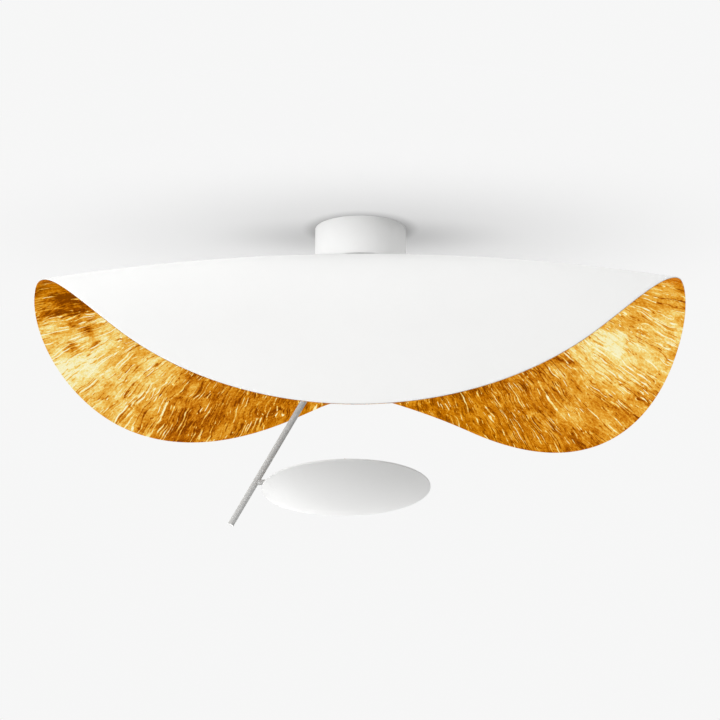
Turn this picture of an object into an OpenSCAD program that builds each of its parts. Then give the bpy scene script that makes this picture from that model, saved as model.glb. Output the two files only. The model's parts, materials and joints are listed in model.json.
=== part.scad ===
// Ceiling light with a three-lobed leaf shade and a tilting LED disc.
// Origin: middle of the mounting plate's back face, on the ceiling. +Z is up and -Y is the front.

/* [Leaf shade] */
// Diameter of the flat disc that the leaf is bent from
leaf_d = 1000; // [900:10:1200]
// Thickness of the white sheet
leaf_wall = 1.6; // [1.2:0.1:3]
// Thickness of the gold lining
lining_wall = 0.4; // [0.3:0.1:1]
// Droop of the crown line at its left and right ends
crown_drop = 59; // [30:1:90]
// Width over which the flat seat blends into the crown
seat_blend = 60; // [30:5:120]
// Distance from the flat seat to the fold of the front lobe
front_fold_gap = 1; // [0.5:0.5:40]
// How far the ends of the front fold curve forwards
front_fold_bow = 53; // [0:1:90]
// Bend radius of the front lobe
front_fold_r = 263; // [180:1:400]
// Bend angle of the front lobe
front_fold_angle = 66; // [30:1:80]
// Bearing of the left lobe, from straight back towards the left
left_fold_bearing = 40; // [30:1:55]
// Distance from the flat seat to the fold of the left lobe
left_fold_gap = 30; // [10:1:120]
// Bend radius of the left lobe
left_fold_r = 575; // [250:5:700]
// Bend angle of the left lobe
left_fold_angle = 36.5; // [20:0.5:50]
// Bearing of the right lobe, from straight back towards the right
right_fold_bearing = 48.5; // [35:0.5:60]
// Distance from the flat seat to the fold of the right lobe
right_fold_gap = 88; // [30:1:140]
// Bend radius of the right lobe
right_fold_r = 260; // [200:5:600]
// Bend angle of the right lobe
right_fold_angle = 37; // [20:0.5:50]
// How far the ends of the two rear folds curve inwards
rear_fold_bow = 200; // [0:5:260]

/* [Canopy] */
// Outer diameter of the canopy
canopy_d = 140; // [138:1:200]
// Height from the ceiling to the canopy's underside
canopy_h = 60; // [56:1:90]
// Wall of the canopy
canopy_wall = 1.5; // [1:0.1:3]
// Shadow gap between the ceiling and the canopy's rim
ceiling_gap = 0.5; // [0.3:0.1:2]
// Bearing of the canopy screws, from the sides towards the back
canopy_screw_bearing = 20; // [15:1:30]
// Height of the canopy screws below the ceiling
canopy_screw_drop = 9; // [8:0.5:11]
// Thread diameter of the canopy screws
canopy_screw_d = 4; // [3:0.5:5]
// Length of the canopy screws
canopy_screw_len = 8; // [6:1:10]

/* [Mounting plate] */
// Thickness of the mounting plate
plate_t = 2.5; // [2:0.5:4]
// Gap between the plate's ears and the canopy
ear_gap = 0.6; // [0.3:0.1:1]
// Width of each ear
ear_w = 14; // [10:1:18]
// Length of each ear below the ceiling
ear_drop = 16; // [14:1:20]
// Spacing of the two ceiling slots
slot_spacing = 80; // [70:1:90]
// Length of each ceiling slot
slot_len = 14; // [10:1:18]
// Width of each ceiling slot
slot_w = 5.2; // [4:0.1:7]
// Diameter of the mains cable hole
cable_hole_d = 16; // [10:1:18]
// Cable hole, distance to the left of the middle
cable_hole_left = 38; // [34:1:40]
// Cable hole, distance in front of the middle
cable_hole_front = 24; // [20:1:26]

/* [Mains parts] */
// Length of the terminal block
terminal_l = 30; // [22:1:32]
// Depth of the terminal block
terminal_w = 17; // [14:1:20]
// Height of the terminal block
terminal_h = 16; // [12:1:22]
// Number of poles
poles = 3; // [2:1:4]
// Diameter of the terminal screws
terminal_screw_d = 3.5; // [2.5:0.5:4]
// Distance of the terminal block in front of the middle
terminal_front = 44; // [42:1:46]
// Length of the cable clamp
clamp_l = 24; // [22:1:28]
// Width of the cable clamp
clamp_w = 7; // [6:1:8]
// Height of the cable clamp
clamp_h = 5; // [4.5:0.5:7]
// Groove radius of the cable clamp
clamp_groove_r = 3; // [2:0.5:3.5]
// Thread diameter of the plate's small screws
plate_screw_d = 3; // [2.5:0.5:4]
// Head diameter of the earth screw
earth_head_d = 8; // [6:0.5:10]
// Length of the LED driver
driver_l = 90; // [70:1:92]
// Depth of the LED driver
driver_w = 30; // [24:1:32]
// Height of the LED driver
driver_h = 22; // [16:1:30]
// Gap between the stem's nut and the driver
driver_gap = 6; // [4:0.5:8]
// Length of the driver's fixing tabs
driver_tab = 8; // [7:0.5:9]
// Thickness of the driver's fixing tabs
driver_tab_t = 2; // [1.5:0.5:3]
// Side of the low voltage connector
connector_w = 13; // [10:1:16]
// Height of the low voltage connector
connector_h = 9; // [7:1:12]
// Diameter of the low voltage lead
lead_d = 3; // [2:0.5:3.5]

/* [Stem and shade clamp] */
// Outer diameter of the hollow threaded stem
stem_d = 10; // [8:0.5:12]
// Bore of the stem
stem_bore_d = 6.5; // [5:0.5:7]
// Thread left below the shade nut
stem_spare = 2; // [1:0.5:3]
// Width across flats of the stem's nuts
stem_nut_af = 17; // [16:1:20]
// Height of the welded boss under the plate
boss_h = 8; // [6:0.5:12]
// Height of the lock nut
locknut_h = 5; // [4:0.5:8]
// Height of the shade nut
shade_nut_h = 8; // [5:0.5:8]
// Clearance of the stem in the sheets it passes through
stem_clear = 0.25; // [0.15:0.05:0.5]
// Thickness of the gasket between canopy and leaf
upper_gasket_t = 1; // [0.5:0.5:3]
// Diameter of both gaskets
gasket_d = 48; // [30:1:50]
// Thickness of the gasket under the leaf
lower_gasket_t = 1; // [0.5:0.5:3]
// Diameter of the hub plate
hub_plate_d = 51; // [48:1:60]
// Thickness of the hub plate
hub_plate_t = 6; // [5:0.5:8]

/* [Swivel] */
// Wall of the hub cup
cup_wall = 2; // [1.5:0.5:4]
// Floor of the hub cup
cup_floor = 4; // [3:0.5:6]
// Room between the hub plate and the cup's floor
cup_room = 23; // [23:1:30]
// Clearance between the hub plate and the cup
cup_clear = 0.1; // [0.05:0.05:0.3]
// Thread diameter of the hub screws
hub_screw_d = 3; // [2.5:0.5:4]
// Diameter of the swivel spindle
spindle_d = 14; // [12:0.5:16]
// Bore of the swivel spindle
spindle_bore_d = 8; // [5:0.5:9]
// Running clearance of the spindle and the pins, on the radius
run_clear = 0.05; // [0.02:0.01:0.09]
// Wall of the swivel bush
bush_wall = 2; // [1.5:0.5:3]
// Width of the bush's flange
bush_flange = 3; // [2:0.5:4]
// Thickness of the bush's flange
bush_flange_t = 1; // [0.8:0.2:2]
// Running gap between faces that slide on each other
face_gap = 0.1; // [0.05:0.05:0.3]
// Thickness of the stop washer
stop_washer_t = 1; // [0.8:0.2:2]
// Distance from the swivel axis to the stop pin
stop_r = 18; // [17:0.5:20]
// Diameter of the stop pin
stop_pin_d = 3; // [2:0.5:4]
// Width of the stop tab
stop_tab_w = 5; // [4:0.5:7]
// Thickness of the wave washer
wave_t = 0.8; // [0.5:0.1:1.5]
// Width across flats of the spindle nut
spindle_nut_af = 19; // [18:1:21]
// Height of the spindle nut
spindle_nut_h = 4.5; // [3:0.5:6]
// Diameter of the yoke's plate
yoke_d = 30; // [26:1:40]
// Thickness of the yoke's plate
yoke_t = 5.5; // [4:0.5:8]
// Gap between the hub cup and the yoke's plate
yoke_gap = 0.4; // [0.3:0.1:1]
// Distance from the hub cup down to the knuckle pin
pivot_drop = 26; // [24:1:40]
// Diameter of the knuckle's eye and ears
knuckle_d = 16; // [14:0.5:20]
// Width of the eye between the ears
eye_w = 9.6; // [9.6:0.2:14]
// Thickness of each ear of the yoke
yoke_ear_t = 4.5; // [3:0.5:6]
// Diameter of the knuckle pin
pivot_d = 6; // [4:0.5:8]
// Thickness of the washers under the knuckle pin's head and nut
pivot_washer_t = 0.8; // [0.5:0.1:1.5]
// Width across flats of the knuckle pin's nut
pivot_nut_af = 10; // [9:0.5:13]
// Height of the knuckle pin's nut and head
pivot_nut_h = 4.5; // [3:0.5:6]

/* [Rod] */
// Lean of the rod from the vertical
rod_lean = 29.6; // [20:0.1:38]
// Distance from the knuckle pin to the rod's lower end
rod_reach = 398; // [360:1:420]
// Outer diameter of the rod
rod_d = 9.5; // [8:0.5:9.5]
// Wall of the rod
rod_wall = 1.5; // [1:0.1:2]
// Distance from the knuckle pin to the top of the tube
rod_top = 18; // [16:1:24]
// Length of the spigot inside the tube's top
head_spigot = 16; // [12:1:20]
// Diameter of the pin that locks the head in the tube
head_pin_d = 2; // [1.5:0.5:3]
// Thickness of the cap on the rod's lower end
rod_cap_t = 2.5; // [1:0.5:5]
// Length of the cap's spigot
cap_spigot = 8; // [5:1:12]
// Distance from the knuckle pin to the lead's entry hole
entry_at = 44; // [42:1:60]
// Diameter of the lead's entry hole
entry_d = 5; // [4:0.5:5.5]

/* [Stub] */
// Distance along the rod from the knuckle pin to the stub
stub_at = 322; // [280:0.5:340]
// Rise of the stub from the level, towards its free end
stub_rise = 1; // [-3:0.5:3]
// Outer diameter of the stub
stub_d = 8.5; // [7:0.5:9]
// Diameter of the stub's journal
journal_d = 6; // [5:0.5:6.5]
// Bore of the stub
stub_bore_d = 3; // [2:0.5:3.5]
// Distance from the rod's axis to the lug
lug_at = 17; // [14:0.5:22]
// Thickness of the stub's washer
stub_washer_t = 1; // [0.5:0.1:1.5]
// Width across flats of the stub's nut
stub_nut_af = 10; // [9:0.5:12]
// Height of the stub's nut
stub_nut_h = 4.5; // [3:0.5:6]

/* [LED disc] */
// Diameter of the LED disc
disc_d = 256; // [240:1:280]
// Gap between the rod's axis and the disc's edge, along the stub
disc_gap = 8.8; // [6:0.1:12]
// Drop from the stub's axis to the disc's rim
disc_drop = 11.6; // [9.5:0.1:14]
// Pitch of the disc as pictured, front edge up
disc_pitch = 5.1; // [-10:0.1:10]
// Thickness of the pan's edge
pan_edge_t = 1; // [0.8:0.1:1.5]
// Depth of the pan at its middle, below its rim
pan_depth = 14; // [13.5:0.5:18]
// Fullness of the pan's curve, 2 for a parabola
pan_fullness = 2.3; // [2.2:0.1:3]
// Wall of the pan
pan_wall = 1.5; // [1:0.1:2]
// Width of the pan's solid rim
pan_rim_w = 9; // [8:0.5:9]
// Depth of the rim's inner edge
pan_rim_t = 2; // [1.8:0.1:2]
// Depth of the ledge under the heat spreader, below the rim
ledge_depth = 6; // [5.8:0.1:6.2]
// Width of the ledge under the heat spreader
ledge_w = 8; // [4:0.5:12]
// Thickness of the top cover
cover_t = 1.2; // [1:0.1:2]
// Width of the top cover's ring
cover_w = 31.5; // [28:0.5:34]
// Number of cover screws
cover_screws_n = 6; // [4:1:8]
// Thread diameter of the cover screws
cover_screw_d = 2.5; // [2:0.5:3]
// Thickness of the heat spreader
spreader_t = 1.2; // [1:0.1:1.5]
// Thickness of the LED board
board_t = 1; // [0.8:0.1:1.2]
// Side of one LED
led_w = 3; // [2:0.5:4]
// Height of one LED
led_t = 0.8; // [0.5:0.1:0.9]
// Thickness of the opal diffuser
diffuser_t = 2; // [1:0.5:2]
// Overlap of the cover on the diffuser
diffuser_lap = 7; // [5:0.5:9]
// Width of the spacer ring
spacer_w = 5; // [3:0.5:6]
// Length of the lug along the stub
lug_l = 16; // [14:0.5:18]
// Width of the lug's foot
lug_w = 18; // [14:1:20]
// Thickness of the lug's foot
lug_foot_t = 3; // [2.5:0.1:3.5]
// Outer diameter of the lug's eye
lug_eye_d = 11; // [10:0.5:12]
// Thread diameter of the lug's and board's screws
lug_screw_d = 3; // [2.5:0.5:3]

/* [Hidden] */
$fn = 64;

// Length by which a cutter runs past the face that it cuts
cut = 1;
// Radius of a clearance hole beyond its screw
hole_clear = 0.2;
// Thread that shows past a nut
thread_end = 1;
// Metal left under a blind hole, and the room past a screw's tip
blind_floor = 0.5;
screw_tip_gap = 0.5;
// Gap round a part that drops in its place
part_gap = 0.3;
// Radius of a washer beyond its nut's flats, and the step between the spindle's washers
washer_lip = 0.5;
washer_step = 0.5;
// Height of a grommet's or a low screw's head
grommet_lip = 1;
low_head_h = 1;
// Mesh of the leaf: sectors round it, rings across it, and the step for its slopes
leaf_sectors = 96;
leaf_rings = 13;
slope_step = 0.5;

white = "white";
steel = "silver";
brass = "goldenrod";
dark = "dimgray";

// Heights, from the ceiling down
leaf_z = -canopy_h - upper_gasket_t;
lining_z = leaf_z - leaf_wall;
lower_gasket_z = lining_z - lining_wall;
hub_z = lower_gasket_z - lower_gasket_t;
hub_low_z = hub_z - hub_plate_t;
stem_end_z = hub_low_z - shade_nut_h - stem_spare;
cup_floor_z = hub_low_z - cup_room;
cup_low_z = cup_floor_z - cup_floor;
pivot_z = cup_low_z - pivot_drop;
bush_top_z = cup_floor_z + bush_flange_t;
stop_z = bush_top_z + face_gap;
wave_z = stop_z + stop_washer_t;
spindle_nut_z = wave_z + wave_t;
spindle_top_z = spindle_nut_z + spindle_nut_h + thread_end;

// Radii
leaf_r = leaf_d / 2;
stem_r = stem_d / 2;
stem_hole_r = stem_r + stem_clear;
hub_r = hub_plate_d / 2;
seat_margin = 0.5;
seat_r = hub_r + seat_margin;
cup_in_r = hub_r + cup_clear;
cup_r = cup_in_r + cup_wall;
canopy_r = canopy_d / 2;
canopy_in_r = canopy_r - canopy_wall;
ear_r = canopy_in_r - ear_gap;
ear_root = 0.6;
plate_r = ear_r - plate_t + ear_root;
spindle_r = spindle_d / 2;
bush_r = spindle_r + run_clear + bush_wall;
flange_r = bush_r + bush_flange;
rod_r = rod_d / 2;
rod_in_r = rod_r - rod_wall;
disc_r = disc_d / 2;
cover_in_r = disc_r - cover_w;
diffuser_r = cover_in_r + diffuser_lap;
disc_x = disc_gap + disc_r;

// Depths inside the disc, from its rim down
ledge_z = -ledge_depth;
spreader_top_z = ledge_z + spreader_t;
board_top_z = spreader_top_z + board_t;
board_gap = 2;
board_r = diffuser_r - spacer_w - board_gap;
boss_thread = 2.5;

// Leaf: the forward shift and the drop of a point at distance t past a fold
function turned(t, r, angle) = min(max(t, 0) / r * 180 / PI, angle);
function past(t, r, angle) = max(t - r * angle * PI / 180, 0);
function fold_shift(t, r, angle) =
    r * sin(turned(t, r, angle)) + past(t, r, angle) * cos(angle) - max(t, 0);
function fold_drop(t, r, angle) =
    r * (1 - cos(turned(t, r, angle))) + past(t, r, angle) * sin(angle);

function front_t(u, w) = -w - seat_r - front_fold_gap - front_fold_bow * pow(u / leaf_r, 2);
// Distance past a rear fold, whose lobe points along n
function rear_t(u, w, n, gap) =
    u * n[0] + w * n[1] - seat_r - gap - rear_fold_bow * pow((w * n[0] - u * n[1]) / leaf_r, 2);

left_n = [-sin(left_fold_bearing), cos(left_fold_bearing)];
right_n = [sin(right_fold_bearing), cos(right_fold_bearing)];

// Share of the crown's droop that is left after the flat seat
function crown_share(u, w) = min(max(norm([u, w]) - seat_r, 0) / seat_blend, 1);

// Where the point (u, w) of the flat disc lies on the bent leaf's upper face
function leaf_point(u, w) =
    let(
        f = front_t(u, w),
        l = rear_t(u, w, left_n, left_fold_gap),
        r = rear_t(u, w, right_n, right_fold_gap),
        sf = fold_shift(f, front_fold_r, front_fold_angle),
        sl = fold_shift(l, left_fold_r, left_fold_angle),
        sr = fold_shift(r, right_fold_r, right_fold_angle),
        drop = crown_drop * pow(u / leaf_r, 2) * crown_share(u, w)
            + fold_drop(f, front_fold_r, front_fold_angle)
            + fold_drop(l, left_fold_r, left_fold_angle)
            + fold_drop(r, right_fold_r, right_fold_angle)
    )
    [u + sl * left_n[0] + sr * right_n[0], w - sf + sl * left_n[1] + sr * right_n[1], leaf_z - drop];

function unit(v) = v / norm(v);
// Direction away from the leaf's upper face, into the lobes
function leaf_inward(u, w) =
    let(
        du = leaf_point(u + slope_step, w) - leaf_point(u - slope_step, w),
        dw = leaf_point(u, w + slope_step) - leaf_point(u, w - slope_step)
    )
    unit(cross(dw, du));

leaf_radii = [
    stem_hole_r, seat_r,
    for (i = [1:leaf_rings]) seat_r + (leaf_r - seat_r) * i / leaf_rings
];

function sheet_points(depth) = [
    for (rho = leaf_radii, j = [0:leaf_sectors - 1])
        let(a = 360 * j / leaf_sectors, u = rho * cos(a), w = rho * sin(a))
        leaf_point(u, w) + depth * leaf_inward(u, w)
];

// Index of ring i and sector j on the outer face (side 0) or the inner face (side 1)
function at(side, i, j) = (side * len(leaf_radii) + i) * leaf_sectors + j % leaf_sectors;

function flip(faces) = [for (f = faces) [f[2], f[1], f[0]]];
function skin(side) = [
    for (i = [0:len(leaf_radii) - 2], j = [0:leaf_sectors - 1]) each [
        [at(side, i, j), at(side, i, j + 1), at(side, i + 1, j + 1)],
        [at(side, i, j), at(side, i + 1, j + 1), at(side, i + 1, j)]
    ]
];
function rim(i) = [
    for (j = [0:leaf_sectors - 1]) each [
        [at(0, i, j), at(0, i, j + 1), at(1, i, j + 1)],
        [at(0, i, j), at(1, i, j + 1), at(1, i, j)]
    ]
];

// A sheet of the leaf between two depths below its upper face
module leaf_sheet(depth_out, depth_in) {
    polyhedron(
        points = concat(sheet_points(depth_out), sheet_points(depth_in)),
        faces = concat(skin(0), flip(skin(1)), flip(rim(0)), rim(len(leaf_radii) - 1))
    );
}

// Ring or washer about the Z axis between two heights
module ring(r_out, r_in, low, high) {
    translate([0, 0, low])
        difference() {
            cylinder(r = r_out, h = high - low);
            translate([0, 0, -cut]) cylinder(r = r_in, h = high - low + 2 * cut);
        }
}

module disc(r, low, high) {
    translate([0, 0, low]) cylinder(r = r, h = high - low);
}

module hex_nut(across, r_in, low, high) {
    translate([0, 0, low])
        difference() {
            cylinder(r = across / 2 / cos(30), h = high - low, $fn = 6);
            translate([0, 0, -cut]) cylinder(r = r_in, h = high - low + 2 * cut);
        }
}

// Screw along Z: its head stands above z = 0 and its shank runs down
module screw(d, length) {
    head_r = d * 0.9;
    head_h = d * 0.55;
    difference() {
        union() {
            cylinder(r = head_r, h = head_h);
            translate([0, 0, -length]) cylinder(r = d / 2, h = length);
        }
        translate([0, 0, head_h / 2]) cylinder(r = d * 0.35, h = head_h, $fn = 6);
    }
}

// A screw driven upwards into a part above, its head below z = 0
module screw_up(d, length) {
    rotate([180, 0, 0]) screw(d, length);
}

// Places a child at a bearing round Z, with its Z axis pointing outwards at radius r
module facing_out(bearing, r, z) {
    rotate([0, 0, bearing]) translate([r, 0, z]) rotate([0, 90, 0]) children();
}

module canopy_bearings() {
    for (b = [canopy_screw_bearing, 180 - canopy_screw_bearing])
        facing_out(b, 0, -canopy_screw_drop) children();
}

// Frames that the arm and the disc are drawn in
module along_rod() {
    translate([0, 0, pivot_z]) rotate([0, 180 + rod_lean, 0]) children();
}
module at_stub() {
    along_rod() translate([0, 0, stub_at]) rotate([0, 180 - rod_lean - stub_rise, 0]) children();
}
module at_disc() {
    at_stub() rotate([-disc_pitch, 0, 0]) translate([disc_x, 0, -disc_drop]) children();
}
// Along the stub, with Z as its axis, from the rod's axis outwards
module along_stub() {
    at_stub() rotate([0, 90, 0]) children();
}

// Canopy and what it hides

connector_gap = 5;
connector_y = -stem_nut_af / 2 - connector_gap - connector_w / 2;
driver_y = stem_nut_af / 2 + driver_gap + driver_w / 2;
driver_screw_x = driver_l / 2 + driver_tab / 2;
clamp_x = -cable_hole_left;
clamp_gap = 1;
clamp_y = -cable_hole_front - cable_hole_d / 2 - clamp_w / 2 - clamp_gap;
clamp_screw_x = clamp_l / 2 - plate_screw_d;
earth_x = cable_hole_left;
earth_y = -cable_hole_front;
screw_grip = plate_t;

module plate_hole(x, y, d) {
    translate([x, y, -plate_t - cut]) cylinder(r = d / 2, h = plate_t + 2 * cut);
}

module mounting_plate() {
    color(steel)
        difference() {
            union() {
                disc(plate_r, -plate_t, 0);
                for (b = [canopy_screw_bearing, 180 - canopy_screw_bearing])
                    rotate([0, 0, b])
                        translate([ear_r - plate_t, -ear_w / 2, -ear_drop])
                            cube([plate_t, ear_w, ear_drop]);
            }
            for (s = [-1, 1])
                translate([s * slot_spacing / 2, 0, -plate_t - cut])
                    linear_extrude(plate_t + 2 * cut)
                        union() {
                            square([slot_len - slot_w, slot_w], center = true);
                            for (e = [-1, 1])
                                translate([e * (slot_len - slot_w) / 2, 0]) circle(d = slot_w);
                        }
            plate_hole(0, 0, stem_d);
            plate_hole(-cable_hole_left, -cable_hole_front, cable_hole_d);
            plate_hole(earth_x, earth_y, canopy_screw_d);
            for (s = [-1, 1]) {
                plate_hole(s * driver_screw_x, driver_y, plate_screw_d);
                plate_hole(clamp_x + s * clamp_screw_x, clamp_y, plate_screw_d);
            }
            canopy_bearings()
                translate([0, 0, ear_r - plate_t - cut])
                    cylinder(r = canopy_screw_d / 2, h = plate_t + 2 * cut);
        }
}

earth_head_h = 3;
earth_slot_w = 1;
module earth_screw() {
    color(brass)
        translate([earth_x, earth_y, -plate_t])
            difference() {
                union() {
                    disc(earth_head_d / 2, -earth_head_h, 0);
                    disc(canopy_screw_d / 2, 0, plate_t);
                }
                translate([-earth_head_d, -earth_slot_w / 2, -earth_head_h - cut])
                    cube([2 * earth_head_d, earth_slot_w, earth_slot_w + cut]);
            }
}

pole_pitch = terminal_l / poles;
terminal_well = 4;
terminal_sunk = 1;
terminal_slot_w = 0.6;
module at_poles() {
    for (i = [0:poles - 1], s = [-1, 1])
        translate([
            (i - (poles - 1) / 2) * pole_pitch, -terminal_front + s * terminal_w / 4, -plate_t - terminal_h
        ])
            children();
}

module terminal_block() {
    color("ivory")
        difference() {
            translate([-terminal_l / 2, -terminal_front - terminal_w / 2, -plate_t - terminal_h])
                cube([terminal_l, terminal_w, terminal_h]);
            at_poles() translate([0, 0, -cut]) cylinder(r = terminal_screw_d / 2, h = terminal_well + cut);
        }
}

module terminal_screws() {
    color(brass)
        at_poles()
            difference() {
                translate([0, 0, terminal_sunk])
                    cylinder(r = terminal_screw_d / 2, h = terminal_well - terminal_sunk);
                translate([-terminal_screw_d, -terminal_slot_w / 2, terminal_sunk - cut])
                    cube([2 * terminal_screw_d, terminal_slot_w, terminal_slot_w + cut]);
            }
}

module cable_clamp() {
    color("ivory")
        difference() {
            translate([clamp_x - clamp_l / 2, clamp_y - clamp_w / 2, -plate_t - clamp_h])
                cube([clamp_l, clamp_w, clamp_h]);
            translate([clamp_x, clamp_y + clamp_w, -plate_t])
                rotate([90, 0, 0]) cylinder(r = clamp_groove_r, h = 2 * clamp_w);
            for (s = [-1, 1])
                translate([clamp_x + s * clamp_screw_x, clamp_y, -plate_t - clamp_h - cut])
                    cylinder(r = plate_screw_d / 2, h = clamp_h + 2 * cut);
        }
}

module clamp_screws() {
    color(steel)
        for (s = [-1, 1])
            translate([clamp_x + s * clamp_screw_x, clamp_y, -plate_t - clamp_h])
                screw_up(plate_screw_d, clamp_h + screw_grip);
}

module driver() {
    color("whitesmoke")
        difference() {
            union() {
                translate([-driver_l / 2, driver_y - driver_w / 2, -plate_t - driver_h])
                    cube([driver_l, driver_w, driver_h]);
                translate([-driver_l / 2 - driver_tab, driver_y - driver_tab / 2, -plate_t - driver_tab_t])
                    cube([driver_l + 2 * driver_tab, driver_tab, driver_tab_t]);
            }
            for (s = [-1, 1])
                translate([s * driver_screw_x, driver_y, -plate_t - driver_tab_t - cut])
                    cylinder(r = plate_screw_d / 2, h = driver_tab_t + 2 * cut);
        }
}

module driver_screws() {
    color(steel)
        for (s = [-1, 1])
            translate([s * driver_screw_x, driver_y, -plate_t - driver_tab_t])
                screw_up(plate_screw_d, driver_tab_t + screw_grip);
}

module dc_connector() {
    color("orange")
        translate([-connector_w / 2, connector_y - connector_w / 2, -plate_t - connector_h])
            cube([connector_w, connector_w, connector_h]);
}

// The lead drops from the connector, turns to the stem's slot and runs down inside the stem
lead_bend = 8;
lead_stem_bend = stem_bore_d / 2;
lead_drop = 22;
lead_entry_z = -plate_t - connector_h - lead_drop;
lead_run_y = connector_y + lead_bend;
// Length of the rod's lead outside the rod
lead_tail = 4;
module lead_bend_piece(bend_r) {
    rotate_extrude(angle = 90) translate([bend_r, 0]) circle(r = lead_d / 2, $fn = 24);
}

module dc_lead() {
    color(dark)
        union() {
            translate([0, connector_y, lead_entry_z + lead_bend])
                cylinder(r = lead_d / 2, h = -plate_t - connector_h - lead_entry_z - lead_bend, $fn = 24);
            translate([0, lead_run_y, lead_entry_z + lead_bend])
                rotate([0, 90, 0]) rotate([0, 0, 270]) lead_bend_piece(lead_bend);
            translate([0, lead_run_y, lead_entry_z])
                rotate([-90, 0, 0]) cylinder(r = lead_d / 2, h = -lead_stem_bend - lead_run_y, $fn = 24);
            translate([0, -lead_stem_bend, lead_entry_z - lead_stem_bend])
                rotate([0, 90, 0]) rotate([0, 0, 90]) lead_bend_piece(lead_stem_bend);
            translate([0, 0, stem_end_z])
                cylinder(r = lead_d / 2, h = lead_entry_z - lead_stem_bend - stem_end_z, $fn = 24);
        }
}

module canopy() {
    color(white)
        difference() {
            disc(canopy_r, -canopy_h, -ceiling_gap);
            disc(canopy_in_r, -canopy_h + canopy_wall, cut);
            disc(stem_hole_r, -canopy_h - cut, 0);
            canopy_bearings()
                translate([0, 0, canopy_in_r - cut])
                    cylinder(r = canopy_screw_d / 2 + hole_clear, h = canopy_wall + 2 * cut);
        }
}

module canopy_screws() {
    color(white)
        canopy_bearings()
            translate([0, 0, canopy_r]) screw(canopy_screw_d, canopy_screw_len);
}

module stem_boss() {
    color(steel) hex_nut(stem_nut_af, stem_r, -plate_t - boss_h, -plate_t);
}

stem_slot_r = lead_d / 2 + part_gap;
module stem() {
    color(steel)
        difference() {
            ring(stem_r, stem_bore_d / 2, stem_end_z, -ceiling_gap);
            translate([0, 0, lead_entry_z])
                rotate([90, 0, 0])
                    linear_extrude(stem_d)
                        union() {
                            circle(r = stem_slot_r);
                            translate([0, -lead_stem_bend]) circle(r = stem_slot_r);
                            translate([-stem_slot_r, -lead_stem_bend])
                                square([2 * stem_slot_r, lead_stem_bend]);
                        }
        }
}

module stem_locknut() {
    color(steel)
        hex_nut(stem_nut_af, stem_r, -plate_t - boss_h - locknut_h, -plate_t - boss_h);
}

// Leaf and its clamp

module upper_gasket() {
    color(dark) ring(gasket_d / 2, stem_hole_r, leaf_z, -canopy_h);
}

module leaf_shade() {
    color(white) leaf_sheet(0, leaf_wall);
}

module leaf_lining() {
    color("gold") leaf_sheet(leaf_wall, leaf_wall + lining_wall);
}

module lower_gasket() {
    color(dark) ring(gasket_d / 2, stem_hole_r, hub_z, lower_gasket_z);
}

hub_screw_z = (hub_z + hub_low_z) / 2;
hub_hole_depth = 7;
module hub_bearings() {
    for (b = [90, 210, 330]) facing_out(b, 0, hub_screw_z) children();
}

module hub_plate() {
    color(steel)
        difference() {
            ring(hub_r, stem_hole_r, hub_low_z, hub_z);
            hub_bearings()
                translate([0, 0, hub_r - hub_hole_depth])
                    cylinder(r = hub_screw_d / 2, h = hub_hole_depth + cut);
        }
}

module shade_nut() {
    color(steel) hex_nut(stem_nut_af, stem_r, hub_low_z - shade_nut_h, hub_low_z);
}

stop_pin_seat = 2;
stop_pin_rise = 2.5;
module hub_cup() {
    color(white)
        difference() {
            disc(cup_r, cup_low_z, hub_z);
            disc(cup_in_r, cup_floor_z, hub_z + cut);
            disc(bush_r, cup_low_z - cut, cup_floor_z + cut);
            translate([0, stop_r, cup_floor_z - stop_pin_seat])
                cylinder(r = stop_pin_d / 2, h = stop_pin_seat + cut);
            hub_bearings()
                translate([0, 0, cup_in_r - cut])
                    cylinder(r = hub_screw_d / 2 + hole_clear, h = cup_wall + 2 * cut);
        }
}

module hub_screws() {
    color(steel)
        hub_bearings()
            translate([0, 0, cup_r])
                screw(hub_screw_d, cup_wall + hub_hole_depth - 2 * screw_tip_gap);
}

module swivel_bush() {
    color(brass)
        union() {
            ring(bush_r, spindle_r + run_clear, cup_low_z, bush_top_z);
            ring(flange_r, spindle_r + run_clear, cup_floor_z, bush_top_z);
        }
}

// Stands behind the spindle, and the stop washer's tab points forwards
module stop_pin() {
    color(steel)
        translate([0, stop_r, cup_floor_z - stop_pin_seat])
            cylinder(r = stop_pin_d / 2, h = stop_pin_seat + bush_flange_t + stop_pin_rise);
}

// Swivel

yoke_top_z = cup_low_z - yoke_gap;
yoke_low_z = yoke_top_z - yoke_t;
ear_in_y = eye_w / 2 + face_gap;
ear_out_y = ear_in_y + yoke_ear_t;
knuckle_r = knuckle_d / 2;
pivot_r = pivot_d / 2;

// Places a child at the knuckle with its Z axis along -Y
module along_pivot() {
    translate([0, 0, pivot_z]) rotate([90, 0, 0]) children();
}

module swivel_yoke() {
    color(white)
        difference() {
            union() {
                disc(spindle_r, yoke_top_z, spindle_top_z);
                disc(yoke_d / 2, yoke_low_z, yoke_top_z);
                for (s = [-1, 1]) {
                    along_pivot()
                        translate([0, 0, s * (ear_in_y + ear_out_y) / 2])
                            cylinder(r = knuckle_r, h = yoke_ear_t, center = true);
                    translate([0, s * (ear_in_y + ear_out_y) / 2, (pivot_z + yoke_low_z) / 2])
                        cube([knuckle_d, yoke_ear_t, yoke_low_z - pivot_z], center = true);
                }
            }
            disc(spindle_bore_d / 2, yoke_low_z - cut, spindle_top_z + cut);
            along_pivot()
                cylinder(r = pivot_r + run_clear, h = 2 * ear_out_y + 2 * cut, center = true);
        }
}

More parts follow.
